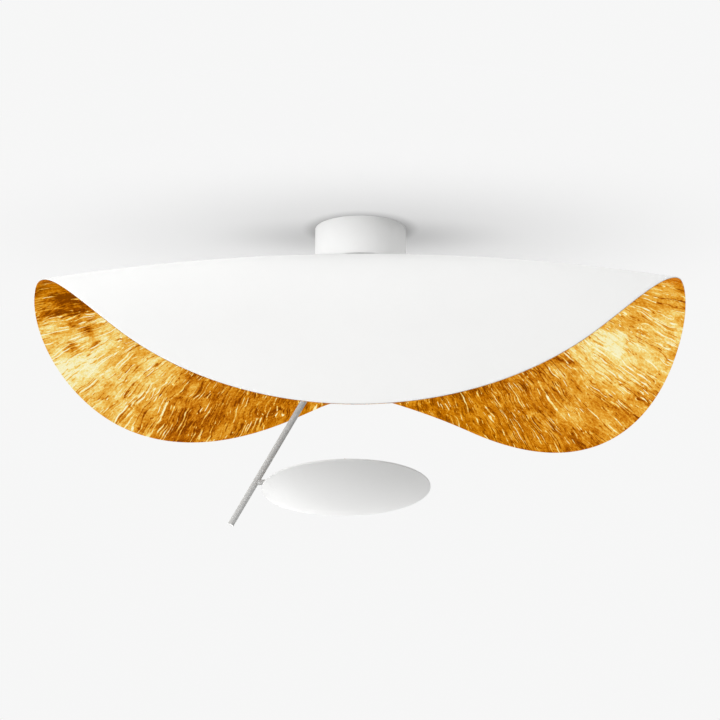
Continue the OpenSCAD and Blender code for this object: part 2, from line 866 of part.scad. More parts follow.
module stop_washer() {
    color(steel)
        difference() {
            union() {
                disc(flange_r - washer_step, stop_z, wave_z);
                translate([-stop_tab_w / 2, -stop_r - stop_pin_d / 2, stop_z])
                    cube([stop_tab_w, stop_r + stop_pin_d / 2, stop_washer_t]);
            }
            disc(spindle_r, stop_z - cut, wave_z + cut);
        }
}

module wave_washer() {
    color(steel) ring(flange_r - 2 * washer_step, spindle_r, wave_z, spindle_nut_z);
}

module spindle_nut() {
    color(steel) hex_nut(spindle_nut_af, spindle_r, spindle_nut_z, spindle_nut_z + spindle_nut_h);
}

pivot_face_y = ear_out_y + pivot_washer_t;
pivot_socket = 2.5;
module pivot_screw() {
    color(steel)
        along_pivot()
            difference() {
                union() {
                    disc(pivot_r, -pivot_face_y - pivot_nut_h - thread_end, pivot_face_y);
                    disc(pivot_nut_af / 2, pivot_face_y, pivot_face_y + pivot_nut_h);
                }
                translate([0, 0, pivot_face_y + pivot_nut_h - pivot_socket])
                    cylinder(r = pivot_r * 0.8, h = pivot_socket + cut, $fn = 6);
            }
}

module pivot_nut() {
    color(steel)
        along_pivot() hex_nut(pivot_nut_af, pivot_r, -pivot_face_y - pivot_nut_h, -pivot_face_y);
}

module pivot_washers() {
    color(steel)
        along_pivot() {
            ring(pivot_nut_af / 2 + washer_lip, pivot_r, ear_out_y, pivot_face_y);
            ring(pivot_nut_af / 2 + washer_lip, pivot_r, -pivot_face_y, -ear_out_y);
        }
}

// Arm

rod_end = rod_reach - rod_cap_t;
head_pin_at = rod_top + head_spigot / 2;
spigot_clear = 0.05;
spigot_r = rod_in_r - spigot_clear;

module rod_head() {
    color("lightgray")
        difference() {
            union() {
                along_pivot() cylinder(r = knuckle_r, h = eye_w, center = true);
                along_rod() {
                    cylinder(r = rod_r - part_gap, h = rod_top);
                    cylinder(r = spigot_r, h = rod_top + head_spigot);
                }
            }
            along_pivot() cylinder(r = pivot_r + run_clear, h = eye_w + 2 * cut, center = true);
            along_rod()
                translate([0, 0, head_pin_at])
                    rotate([90, 0, 0]) cylinder(r = head_pin_d / 2, h = rod_d, center = true);
        }
}

module head_pin() {
    color(steel)
        along_rod()
            translate([0, 0, head_pin_at])
                rotate([90, 0, 0])
                    cylinder(r = head_pin_d / 2, h = 2 * (rod_in_r + rod_wall / 2), center = true);
}

module rod() {
    color("lightgray")
        difference() {
            along_rod()
                difference() {
                    ring(rod_r, rod_in_r, rod_top, rod_end);
                    translate([0, 0, head_pin_at])
                        rotate([90, 0, 0]) cylinder(r = head_pin_d / 2, h = 2 * rod_d, center = true);
                    translate([0, 0, entry_at]) rotate([0, -90, 0]) cylinder(r = entry_d / 2, h = rod_d);
                }
            along_stub() cylinder(r = journal_d / 2, h = rod_d);
        }
}

module rod_cap() {
    color("lightgray")
        along_rod()
            union() {
                disc(rod_r, rod_end, rod_reach);
                disc(spigot_r, rod_end - cap_spigot, rod_end);
            }
}

// A sleeve in the rod's entry hole, with its flange outside
grommet_gap = 0.2;
grommet_flange = 0.8;
module rod_grommet() {
    color(dark)
        along_rod()
            translate([0, 0, entry_at])
                rotate([0, -90, 0])
                    difference() {
                        union() {
                            cylinder(r = entry_d / 2, h = rod_r + grommet_gap + grommet_lip);
                            translate([0, 0, rod_r + grommet_gap])
                                cylinder(r = entry_d / 2 + grommet_flange, h = grommet_lip);
                        }
                        cylinder(r = lead_d / 2, h = rod_d);
                        rotate([0, 90, 0]) cylinder(r = rod_in_r, h = 2 * entry_d, center = true);
                    }
}

// The lead comes in through the grommet, turns inside the rod and runs down to the stub
module rod_lead() {
    color(dark)
        along_rod()
            union() {
                translate([0, 0, entry_at])
                    rotate([0, -90, 0])
                        translate([0, 0, rod_in_r])
                            cylinder(r = lead_d / 2, h = rod_wall + lead_tail, $fn = 24);
                translate([-rod_in_r, 0, entry_at + rod_in_r])
                    rotate([90, 0, 0]) rotate([0, 0, -90]) lead_bend_piece(rod_in_r);
                disc(lead_d / 2, entry_at + rod_in_r, stub_at - journal_d);
            }
}

lug_end = lug_at + lug_l;
stub_washer_at = lug_end + face_gap;
stub_nut_at = stub_washer_at + stub_washer_t;
stub_len = stub_nut_at + stub_nut_h + thread_end;

module stub() {
    color("lightgray")
        difference() {
            union() {
                difference() {
                    along_stub() cylinder(r = stub_d / 2, h = lug_at - face_gap);
                    along_rod() disc(rod_r, stub_at - rod_d * 2, stub_at + rod_d * 2);
                }
                difference() {
                    along_stub() cylinder(r = journal_d / 2, h = stub_len);
                    along_rod() disc(rod_in_r, stub_at - rod_d * 2, stub_at + rod_d * 2);
                }
            }
            along_stub() disc(stub_bore_d / 2, -cut, stub_len + cut);
        }
}

module stub_washer() {
    color(steel) along_stub() ring(stub_nut_af / 2 + washer_lip, journal_d / 2, stub_washer_at, stub_nut_at);
}

module stub_nut() {
    color(steel)
        along_stub() hex_nut(stub_nut_af, journal_d / 2, stub_nut_at, stub_nut_at + stub_nut_h);
}

// LED disc: the frame's origin is the middle of the disc, level with the pan's rim

// Depth of the pan's underside at radius r, below the rim
function pan_drop(r) =
    pan_edge_t + (pan_depth - pan_edge_t) * (1 - pow(r / disc_r, pan_fullness));
pan_steps = 16;

board_boss_r = 4;
screw_ring_r = disc_r - pan_rim_w * 0.65;
module at_cover_screws() {
    for (i = [0:cover_screws_n - 1])
        rotate([0, 0, 360 * (i + 0.5) / cover_screws_n + 180]) translate([screw_ring_r, 0, 0]) children();
}
module at_board_screws() {
    for (i = [0:2]) rotate([0, 0, 120 * i + 60]) translate([board_r / 2, 0, 0]) children();
}

module disc_pan() {
    color(white)
        at_disc()
            difference() {
                union() {
                    rotate_extrude()
                        polygon(concat(
                            [[disc_r, 0]],
                            [
                                for (i = [0:pan_steps]) let(r = disc_r * (1 - i / pan_steps))
                                    [r, -pan_drop(r)]
                            ],
                            [
                                for (i = [0:pan_steps / 2])
                                    let(r = (board_r - ledge_w) * i / (pan_steps / 2))
                                    [r, pan_wall - pan_drop(r)]
                            ],
                            [
                                [board_r - ledge_w, ledge_z],
                                [board_r + part_gap, ledge_z],
                                [board_r + part_gap, spreader_top_z],
                                [diffuser_r + part_gap, spreader_top_z],
                                [disc_r - pan_rim_w, -pan_rim_t],
                                [disc_r - pan_rim_w, 0]
                            ]
                        ));
                    at_board_screws()
                        disc(board_boss_r, pan_wall / 2 - pan_drop(board_r / 2), ledge_z);
                }
                at_cover_screws() disc(cover_screw_d / 2, -pan_rim_t + blind_floor, cut);
                at_board_screws() disc(lug_screw_d / 2, ledge_z - boss_thread, ledge_z + cut);
            }
}

lug_x = lug_at - disc_x;
lug_screw_in = 4.3;
lug_screw_x = [lug_x + lug_screw_in, lug_x + lug_l - lug_screw_in];
lead_hole_side = 7;
lead_hole = [lug_x + lug_l - lead_d, lug_w / 2 + lead_hole_side];
module top_cover() {
    color(white)
        at_disc()
            difference() {
                ring(disc_r, cover_in_r, 0, cover_t);
                at_cover_screws() disc(cover_screw_d / 2, -cut, cover_t + cut);
                for (x = lug_screw_x) translate([x, 0, 0]) disc(lug_screw_d / 2, -cut, cover_t + cut);
                translate(lead_hole) disc(entry_d / 2, -cut, cover_t + cut);
            }
}

module cover_screws() {
    color(steel)
        at_disc()
            at_cover_screws()
                translate([0, 0, cover_t])
                    screw(cover_screw_d, cover_t + pan_rim_t - blind_floor - screw_tip_gap);
}

module disc_lug() {
    color(white)
        at_disc()
            difference() {
                union() {
                    translate([lug_x, -lug_w / 2, cover_t]) cube([lug_l, lug_w, lug_foot_t]);
                    translate([lug_x, -lug_eye_d / 2, cover_t])
                        cube([lug_l, lug_eye_d, disc_drop - cover_t]);
                    translate([lug_x, 0, disc_drop])
                        rotate([0, 90, 0]) cylinder(r = lug_eye_d / 2, h = lug_l);
                }
                translate([lug_x - cut, 0, disc_drop])
                    rotate([0, 90, 0]) cylinder(r = journal_d / 2 + run_clear, h = lug_l + 2 * cut);
                for (x = lug_screw_x)
                    translate([x, 0, 0]) disc(lug_screw_d / 2, -cut, cover_t + lug_foot_t);
            }
}

module lug_screws() {
    color(steel)
        at_disc()
            for (x = lug_screw_x)
                translate([x, 0, 0]) screw_up(lug_screw_d, cover_t + lug_foot_t - screw_tip_gap);
}

module lead_grommet() {
    color(dark)
        at_disc()
            translate(lead_hole)
                union() {
                    ring(entry_d / 2, lead_d / 2, -grommet_lip, cover_t + grommet_lip);
                    ring(entry_d / 2 + grommet_flange, lead_d / 2, cover_t, cover_t + grommet_lip);
                    ring(entry_d / 2 + grommet_flange, lead_d / 2, -grommet_lip, 0);
                }
}

module heat_spreader() {
    color(steel)
        at_disc()
            difference() {
                disc(board_r, ledge_z, spreader_top_z);
                at_board_screws() disc(lug_screw_d / 2, ledge_z - cut, spreader_top_z + cut);
            }
}

module led_board() {
    color("mintcream")
        at_disc()
            difference() {
                disc(board_r, spreader_top_z, board_top_z);
                at_board_screws() disc(lug_screw_d / 2, spreader_top_z - cut, board_top_z + cut);
            }
}

// LEDs stand in rings of 6, 12 and 18
led_rings = 3;
led_ring_step = board_r / (led_rings + 0.5);
module leds() {
    color("khaki")
        at_disc()
            for (k = [1:led_rings], i = [0:6 * k - 1])
                rotate([0, 0, 360 * i / (6 * k)])
                    translate([k * led_ring_step, 0, board_top_z + led_t / 2])
                        cube([led_w, led_w, led_t], center = true);
}

socket_l = 7;
socket_w = 8;
socket_edge = 3;
module board_connector() {
    color("ivory")
        at_disc()
            translate([-board_r + socket_edge, -socket_w / 2, board_top_z])
                cube([socket_l, socket_w, spacer_h - board_t - part_gap]);
}

module board_screws() {
    color(steel)
        at_disc()
            at_board_screws()
                union() {
                    disc(lug_screw_d * 0.9, board_top_z, board_top_z + low_head_h);
                    disc(lug_screw_d / 2, ledge_z - boss_thread + screw_tip_gap, board_top_z);
                }
}

spacer_h = -diffuser_t - spreader_top_z;
module spacer_ring() {
    color(white)
        at_disc() ring(diffuser_r, diffuser_r - spacer_w, spreader_top_z, spreader_top_z + spacer_h);
}

module diffuser() {
    color("snow") at_disc() disc(diffuser_r, -diffuser_t, 0);
}

mounting_plate();
earth_screw();
terminal_block();
terminal_screws();
cable_clamp();
clamp_screws();
driver();
driver_screws();
dc_connector();
dc_lead();
canopy();
canopy_screws();
stem_boss();
stem();
stem_locknut();
upper_gasket();
leaf_shade();
leaf_lining();
lower_gasket();
hub_plate();
shade_nut();
hub_cup();
hub_screws();
swivel_bush();
stop_pin();
swivel_yoke();
stop_washer();
wave_washer();
spindle_nut();
pivot_screw();
pivot_nut();
pivot_washers();
rod_head();
head_pin();
rod();
rod_cap();
rod_grommet();
rod_lead();
stub();
stub_washer();
stub_nut();
disc_pan();
top_cover();
cover_screws();
disc_lug();
lug_screws();
lead_grommet();
heat_spreader();
led_board();
leds();
board_connector();
board_screws();
spacer_ring();
diffuser();
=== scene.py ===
import json
import math

import bmesh
import bpy
import numpy as np
from mathutils import Matrix, Vector, noise


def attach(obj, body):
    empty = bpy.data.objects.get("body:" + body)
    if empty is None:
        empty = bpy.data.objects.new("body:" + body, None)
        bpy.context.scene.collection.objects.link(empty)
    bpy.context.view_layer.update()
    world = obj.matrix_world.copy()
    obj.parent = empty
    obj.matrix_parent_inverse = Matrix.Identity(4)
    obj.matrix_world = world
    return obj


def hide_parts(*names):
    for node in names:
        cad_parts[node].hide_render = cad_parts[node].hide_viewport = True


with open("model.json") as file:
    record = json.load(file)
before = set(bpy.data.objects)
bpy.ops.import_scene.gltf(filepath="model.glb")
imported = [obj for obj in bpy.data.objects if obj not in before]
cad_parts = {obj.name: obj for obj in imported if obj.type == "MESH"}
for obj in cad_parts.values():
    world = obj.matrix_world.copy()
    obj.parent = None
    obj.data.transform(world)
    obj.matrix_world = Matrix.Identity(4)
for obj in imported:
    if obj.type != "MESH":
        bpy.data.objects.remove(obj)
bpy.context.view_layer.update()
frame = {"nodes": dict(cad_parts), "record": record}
nodes = frame["nodes"]
print("frame loaded:", len(nodes), "nodes")


# Frames that the arm and the disc are drawn in, from the part's own sizes

armSizes = {
    "pivotDrop": 0.123,       # ceiling to the knuckle's pin
    "lean": 29.6,             # degrees from upright
    "reach": 0.398,           # pin to the rod's lower end
    "stubAt": 0.322,          # pin to the stub
    "stubRise": 1.0,          # degrees from level
    "discAlong": 0.1368,      # rod to the disc's middle
    "discDrop": 0.0116,       # stub to the disc's rim
    "discPitch": 5.1,         # degrees about the stub
}


def turned(degrees, axis):
    return Matrix.Rotation(math.radians(degrees), 4, axis)


def moved(x, y, z):
    return Matrix.Translation((x, y, z))


alongRod = moved(0, 0, -armSizes["pivotDrop"]) @ turned(180 + armSizes["lean"], "Y")
atStub = (
    alongRod
    @ moved(0, 0, armSizes["stubAt"])
    @ turned(180 - armSizes["lean"] - armSizes["stubRise"], "Y")
)
atDisc = (
    atStub
    @ turned(-armSizes["discPitch"], "X")
    @ moved(armSizes["discAlong"], 0, -armSizes["discDrop"])
)


# Camera, lamps and room

shotSettings = {
    "azimuth": 0.59,
    "elevation": -16.1,       # the camera looks up from below
    "distance": 6.0,
    "aim": (-0.00096, 0.0, -0.2102),
    "lens": 196.2,            # millimetres, as the sensor
    "sensor": 36.0,
    "clip": (0.05, 60.0),
}

roomSettings = {
    "halfWidth": 9.0,
    "floorDrop": 2.4,
    "ceilingGap": 0.0004,     # above the plate's back
    "paper": (0.925, 0.926, 0.925),
    "mirrored": (1.0, 1.0, 1.0),      # what metal sees of the floor and the room round it
    "floorTone": (0.50, 0.50, 0.495),
    "floorGlow": 0.03,
    "floorSeenGlow": 0.54,            # what the view sees of it, on top of its own tone
    "floorRing": (2.6, 7.5),          # where it turns to plain paper for the view
    "worldTone": (1.0, 1.0, 1.0),
    "worldStrength": 0.58,
    "ceilingTone": (0.76, 0.76, 0.76),
    "ceilingGlow": 0.46,      # light that the ceiling gives by itself, away from the canopy
    "glowRing": (0.075, 0.20),
    "seenTone": (0.21, 0.21, 0.21),
    "paintedShadeGlow": (0.36, 0.185, 0.23),  # glow that the view sees, kept low near the canopy as painted shade: at the canopy, past the first ring, past the second
    "paintedShadeRings": ((0.0, 0.28), (0.0, 1.06)),
    "paintedShadeCentre": (0.0, 0.04, 0.0),
    "paintedShadeStretch": (1.0, 0.4, 1.0),
    "contactShadowRing": (0.068, 0.094),    # painted contact shadow, a dark line where the canopy meets the ceiling
    "contactShadowDepth": 0.18,
    "paperRing": (0.05, 0.73),        # where the ceiling turns to plain paper
}

lampSettings = {
    "key": {"at": (-3.2, -2.4, -0.45), "size": 1.6, "power": 72.0},
    "rear": {"at": (-1.0, 3.6, -1.7), "size": 1.6, "power": 40.0},
}

# A narrow spot from behind, on the light disc alone
spotSettings = {
    "at": (-1.0, 3.6, -1.7),
    "aim": (-0.03, 0.0, -0.43),
    "cone": 6.5,
    "blend": 0.4,
    "radius": 0.1,
    "power": 262.0,
}


def addObject(name, data):
    thing = bpy.data.objects.new(name, data)
    bpy.context.scene.collection.objects.link(thing)
    return thing


def aimAt(thing, target):
    back = Vector(thing.location) - Vector(target)
    thing.rotation_euler = back.to_track_quat("Z", "Y").to_euler()


def placeCamera():
    s = shotSettings
    lens = bpy.data.cameras.new("camera")
    lens.lens = s["lens"]
    lens.sensor_width = s["sensor"]
    lens.clip_start, lens.clip_end = s["clip"]
    camera = addObject("camera", lens)
    a, e = math.radians(s["azimuth"]), math.radians(s["elevation"])
    back = Vector((math.sin(a) * math.cos(e), -math.cos(a) * math.cos(e), math.sin(e)))
    camera.location = Vector(s["aim"]) + back * s["distance"]
    aimAt(camera, s["aim"])
    bpy.context.scene.camera = camera


def placeLamp(name, settings, target):
    lamp = bpy.data.lights.new(name, "AREA")
    lamp.shape = "DISK"
    lamp.size = settings["size"]
    lamp.energy = settings["power"]
    holder = addObject(name, lamp)
    holder.location = settings["at"]
    aimAt(holder, target)
    holder.visible_camera = False
    holder.visible_glossy = False    # metal mirrors the pale room and not the lamps


def placeSpot():
    s = spotSettings
    lamp = bpy.data.lights.new("discSpot", "SPOT")
    lamp.spot_size = math.radians(s["cone"])
    lamp.spot_blend = s["blend"]
    lamp.shadow_soft_size = s["radius"]
    lamp.energy = s["power"]
    holder = addObject("discSpot", lamp)
    holder.location = s["at"]
    aimAt(holder, s["aim"])
    holder.visible_camera = False


# Node helpers

def feed(tree, socket, value):
    # value is a plain one or another node's output
    if isinstance(value, bpy.types.NodeSocket):
        tree.links.new(value, socket)
    else:
        socket.default_value = value


def addNode(tree, kind, inputs=None, **properties):
    # inputs go by a socket's name or by its number
    node = tree.nodes.new("ShaderNode" + kind)
    for name, value in properties.items():
        setattr(node, name, value)
    for key, value in (inputs or {}).items():
        feed(tree, node.inputs[key], value)
    return node


def mathNode(tree, operation, *values, clamp=False):
    node = addNode(tree, "Math", dict(enumerate(values)), operation=operation, use_clamp=clamp)
    return node.outputs["Value"]


def vectorNode(tree, operation, *values):
    node = addNode(tree, "VectorMath", dict(enumerate(values)), operation=operation)
    return node.outputs["Vector"]


def scaledVector(tree, vector, factor):
    node = addNode(tree, "VectorMath", {0: vector, "Scale": factor}, operation="SCALE")
    return node.outputs["Vector"]


def lengthNode(tree, vector):
    return addNode(tree, "VectorMath", {0: vector}, operation="LENGTH").outputs["Value"]


def noiseNode(tree, vector, scale, detail, roughness, distortion=0.0):
    inputs = {
        "Vector": vector, "Scale": scale, "Detail": detail,
        "Roughness": roughness, "Distortion": distortion,
    }
    return addNode(tree, "TexNoise", inputs).outputs["Fac"]


def driftNode(tree, vector, scale, detail, roughness):
    # a noise in three directions, evened out round nought
    inputs = {"Vector": vector, "Scale": scale, "Detail": detail, "Roughness": roughness}
    noisy = addNode(tree, "TexNoise", inputs).outputs["Color"]
    return vectorNode(tree, "SUBTRACT", noisy, (0.5, 0.5, 0.5))


def rangeNode(tree, value, low, high, toLow=0.0, toHigh=1.0, smooth=False):
    node = addNode(
        tree, "MapRange",
        {"Value": value, "From Min": low, "From Max": high, "To Min": toLow, "To Max": toHigh},
        interpolation_type="SMOOTHSTEP" if smooth else "LINEAR",
    )
    return node.outputs["Result"]


def opaque(tone):
    return (*tone, 1.0)


def mixColour(tree, factor, first, second):
    return addNode(tree, "Mix", {0: factor, 6: first, 7: second}, data_type="RGBA").outputs[2]


def mixShaders(tree, factor, first, second):
    return addNode(tree, "MixShader", {"Fac": factor, 1: first, 2: second}).outputs["Shader"]


def rampNode(tree, value, stops):
    node = addNode(tree, "ValToRGB", {"Fac": value})
    ramp = node.color_ramp
    while len(ramp.elements) < len(stops):
        ramp.elements.new(0.5)
    for element, (position, colour) in zip(ramp.elements, stops):
        element.position = position
        element.color = opaque(colour)
    return node.outputs["Color"]


def placedVector(tree, vector, middle, halfSize, turn=(0.0, 0.0, 0.0)):
    # the vector as seen from an ellipse, whose rim is then at a length of 1
    inputs = {"Vector": vector, "Location": middle, "Rotation": turn, "Scale": halfSize}
    return addNode(tree, "Mapping", inputs, vector_type="TEXTURE").outputs["Vector"]


def startMaterial(name):
    material = bpy.data.materials.new(name)
    material.use_nodes = True
    tree = material.node_tree
    tree.nodes.clear()
    output = addNode(tree, "OutputMaterial")
    shader = addNode(tree, "BsdfPrincipled")
    tree.links.new(shader.outputs["BSDF"], output.inputs["Surface"])
    return material, tree, shader


def startGroup(name, inputs, outputs):
    group = bpy.data.node_groups.new(name, "ShaderNodeTree")
    for socketName, kind, value in inputs:
        socket = group.interface.new_socket(name=socketName, in_out="INPUT", socket_type=kind)
        if value is not None:
            socket.default_value = value
    for socketName, kind in outputs:
        group.interface.new_socket(name=socketName, in_out="OUTPUT", socket_type=kind)
    source = group.nodes.new("NodeGroupInput").outputs
    target = group.nodes.new("NodeGroupOutput").inputs
    return group, source, target


def placeGroup(tree, group, inputs):
    node = tree.nodes.new("ShaderNodeGroup")
    node.node_tree = group
    for name, value in inputs.items():
        feed(tree, node.inputs[name], value)
    return node.outputs


surfaceOutputs = [
    ("Color", "NodeSocketColor"),
    ("Roughness", "NodeSocketFloat"),
    ("Normal", "NodeSocketVector"),
]


def surfaceOut(group, source, target, share, unevenness, height):
    # share goes from shade to tone, unevenness into the gloss and height into the bump
    group.links.new(mixColour(group, share, source["Shade"], source["Tone"]), target["Color"])
    offset = mathNode(group, "MULTIPLY", mathNode(group, "SUBTRACT", unevenness, 0.5), source["Spread"])
    group.links.new(mathNode(group, "ADD", source["Roughness"], offset), target["Roughness"])
    bump = addNode(group, "Bump", {"Strength": 1.0, "Distance": source["Depth"], "Height": height})
    group.links.new(bump.outputs["Normal"], target["Normal"])


# Surface grain: a faint cloud in the tone, an uneven gloss and a fine bump

grainSettings = {
    "cloud": (4.0, 0.6),          # detail and roughness of the noise
    "grain": (2.0, 0.5),
    "cloudShare": 0.65,
    "grainShare": 0.35,
    "span": (0.3, 0.7),           # where the shade ends and where the tone is full
    "coatRoughness": 0.2,
}


def buildGrainGroup():
    s = grainSettings
    group, source, target = startGroup(
        "surfaceGrain",
        [
            ("Vector", "NodeSocketVector", None),
            ("Tone", "NodeSocketColor", (0.8, 0.8, 0.8, 1.0)),
            ("Shade", "NodeSocketColor", (0.7, 0.7, 0.7, 1.0)),
            ("Cloud Scale", "NodeSocketFloat", 12.0),
            ("Grain Scale", "NodeSocketFloat", 900.0),
            ("Roughness", "NodeSocketFloat", 0.5),
            ("Spread", "NodeSocketFloat", 0.08),
            ("Depth", "NodeSocketFloat", 0.00002),
        ],
        surfaceOutputs,
    )
    cloud = noiseNode(group, source["Vector"], source["Cloud Scale"], *s["cloud"])
    grain = noiseNode(group, source["Vector"], source["Grain Scale"], *s["grain"])
    clouded = mathNode(group, "MULTIPLY", cloud, s["cloudShare"])
    blend = mathNode(group, "MULTIPLY_ADD", grain, s["grainShare"], clouded)
    surfaceOut(group, source, target, rangeNode(group, blend, *s["span"]), cloud, grain)
    return group


# Turning marks: fine rings or brushed lines, with the noise stretched by its own amount each way

turningSettings = {
    "marks": (1.0, 3.0, 0.6),     # scale, detail and roughness of the noise
    "cloud": (90.0, 3.0, 0.55),
    "marksShare": 0.6,
    "cloudShare": 0.4,
    "span": (0.3, 0.7),
}


def buildTurningGroup():
    s = turningSettings
    group, source, target = startGroup(
        "turningMarks",
        [
            ("Vector", "NodeSocketVector", None),
            ("Tone", "NodeSocketColor", (0.8, 0.8, 0.8, 1.0)),
            ("Shade", "NodeSocketColor", (0.6, 0.6, 0.6, 1.0)),
            ("Stretch", "NodeSocketVector", (40.0, 40.0, 2500.0)),
            ("Roughness", "NodeSocketFloat", 0.3),
            ("Spread", "NodeSocketFloat", 0.15),
            ("Depth", "NodeSocketFloat", 0.00002),
        ],
        surfaceOutputs,
    )
    stretched = vectorNode(group, "MULTIPLY", source["Vector"], source["Stretch"])
    marks = noiseNode(group, stretched, *s["marks"])
    cloud = noiseNode(group, source["Vector"], *s["cloud"])
    clouded = mathNode(group, "MULTIPLY", cloud, s["cloudShare"])
    blend = mathNode(group, "MULTIPLY_ADD", marks, s["marksShare"], clouded)
    surfaceOut(group, source, target, rangeNode(group, blend, *s["span"]), marks, marks)
    return group


# Brush strokes that run out from the middle of the leaf, as a mask. Round is how many
# strokes there are to a turn, Along how many to a metre, and Bend how far they wander.

strokeSettings = {
    "wander": (9.0, 3.0, 0.6),    # scale, detail and roughness of the noise
    "stroke": (1.0, 1.5, 0.5),
}


def buildStrokeGroup():
    group, source, target = startGroup(
        "brushStrokes",
        [
            ("Vector", "NodeSocketVector", None),
            ("Round", "NodeSocketFloat", 400.0),
            ("Along", "NodeSocketFloat", 25.0),
            ("Bend", "NodeSocketFloat", 0.04),
            ("Shift", "NodeSocketFloat", 0.0),
            ("Low", "NodeSocketFloat", 0.5),
            ("High", "NodeSocketFloat", 0.7),
        ],
        [("Mask", "NodeSocketFloat")],
    )
    wander = driftNode(group, source["Vector"], *strokeSettings["wander"])
    bent = scaledVector(group, wander, source["Bend"])
    placed = vectorNode(group, "ADD", source["Vector"], bent)
    radius = mathNode(group, "DIVIDE", source["Round"], 2.0 * math.pi)
    ringed = scaledVector(group, vectorNode(group, "NORMALIZE", placed), radius)
    reach = lengthNode(group, placed)
    height = mathNode(group, "MULTIPLY_ADD", reach, source["Along"], source["Shift"])
    lifted = addNode(group, "CombineXYZ", {"Z": height}).outputs["Vector"]
    strokes = noiseNode(group, vectorNode(group, "ADD", ringed, lifted), *strokeSettings["stroke"])
    mask = rangeNode(group, strokes, source["Low"], source["High"], smooth=True)
    group.links.new(mask, target["Mask"])
    return group


grainGroup = buildGrainGroup()
turningGroup = buildTurningGroup()
strokeGroup = buildStrokeGroup()


# Finishes

def objectPoint(tree):
    return addNode(tree, "TexCoord").outputs["Object"]


def leafPoint2d(tree):
    # the leaf laid flat, in metres from its middle
    stored = addNode(tree, "UVMap", uv_map="leafFlat").outputs["UV"]
    return vectorNode(tree, "SUBTRACT", stored, (0.5, 0.5, 0.0))


def surfaceFinish(name, group, settings, extra):
    # one of the two surface groups, with this finish's own values
    material, tree, shader = startMaterial(name)
    out = placeGroup(tree, group, {
        "Vector": objectPoint(tree),
        "Tone": opaque(settings["tone"]),
        "Shade": opaque(settings["shade"]),
        "Roughness": settings["roughness"],
        "Spread": settings["spread"],
        "Depth": settings["depth"],
        **extra,
    })
    tree.links.new(out["Color"], shader.inputs["Base Color"])
    tree.links.new(out["Roughness"], shader.inputs["Roughness"])
    tree.links.new(out["Normal"], shader.inputs["Normal"])
    return material, shader


def grainFinish(name, settings):
    scales = {"Cloud Scale": settings["cloud"], "Grain Scale": settings["grain"]}
    material, shader = surfaceFinish(name, grainGroup, settings, scales)
    shader.inputs["Metallic"].default_value = 0.0
    shader.inputs["Coat Weight"].default_value = settings.get("coat", 0.0)
    shader.inputs["Coat Roughness"].default_value = grainSettings["coatRoughness"]
    return material


def turnedFinish(name, settings):
    material, shader = surfaceFinish(name, turningGroup, settings, {"Stretch": settings["stretch"]})
    shader.inputs["Metallic"].default_value = settings.get("metallic", 1.0)
    return material


grainFinishes = {
    "lacquer": {
        "tone": (0.912, 0.912, 0.907), "shade": (0.892, 0.892, 0.887),
        "cloud": 6.0, "grain": 1400.0,
        "roughness": 0.65, "spread": 0.1, "depth": 0.00002,
    },
    "screwEnamel": {
        "tone": (0.9, 0.9, 0.89), "shade": (0.84, 0.84, 0.83), "cloud": 120.0, "grain": 2500.0,
        "roughness": 0.45, "spread": 0.1, "depth": 0.00002,
    },
    "ivoryNylon": {
        "tone": (0.85, 0.82, 0.70), "shade": (0.78, 0.74, 0.62), "cloud": 90.0, "grain": 2200.0,
        "roughness": 0.5, "spread": 0.12, "depth": 0.00004,
    },
    "driverCase": {
        "tone": (0.82, 0.82, 0.81), "shade": (0.75, 0.75, 0.74), "cloud": 60.0, "grain": 1800.0,
        "roughness": 0.48, "spread": 0.12, "depth": 0.00006,
    },
    "connectorNylon": {
        "tone": (0.80, 0.33, 0.05), "shade": (0.68, 0.25, 0.03), "cloud": 90.0, "grain": 2200.0,
        "roughness": 0.3, "spread": 0.1, "depth": 0.00002,
    },
    "leadJacket": {
        "tone": (0.045, 0.045, 0.047), "shade": (0.03, 0.03, 0.031),
        "cloud": 150.0, "grain": 3000.0,
        "roughness": 0.5, "spread": 0.12, "depth": 0.00003,
    },
    "softRubber": {
        "tone": (0.025, 0.025, 0.026), "shade": (0.015, 0.015, 0.016),
        "cloud": 100.0, "grain": 2600.0,
        "roughness": 0.65, "spread": 0.12, "depth": 0.00004,
    },
    "boardMask": {
        "tone": (0.86, 0.88, 0.87), "shade": (0.80, 0.83, 0.82), "cloud": 70.0, "grain": 2000.0,
        "roughness": 0.3, "spread": 0.1, "depth": 0.00001,
    },
    "ledPhosphor": {
        "tone": (0.90, 0.72, 0.20), "shade": (0.84, 0.62, 0.13), "cloud": 500.0, "grain": 4000.0,
        "roughness": 0.4, "spread": 0.1, "depth": 0.00001,
    },
    "whiteNylon": {
        "tone": (0.86, 0.86, 0.86), "shade": (0.81, 0.81, 0.81), "cloud": 80.0, "grain": 2200.0,
        "roughness": 0.5, "spread": 0.1, "depth": 0.00003,
    },
    "opalAcrylic": {
        "tone": (0.90, 0.90, 0.88), "shade": (0.87, 0.87, 0.85), "cloud": 14.0, "grain": 1500.0,
        "roughness": 0.35, "spread": 0.08, "depth": 0.00001, "coat": 0.3,
    },
}

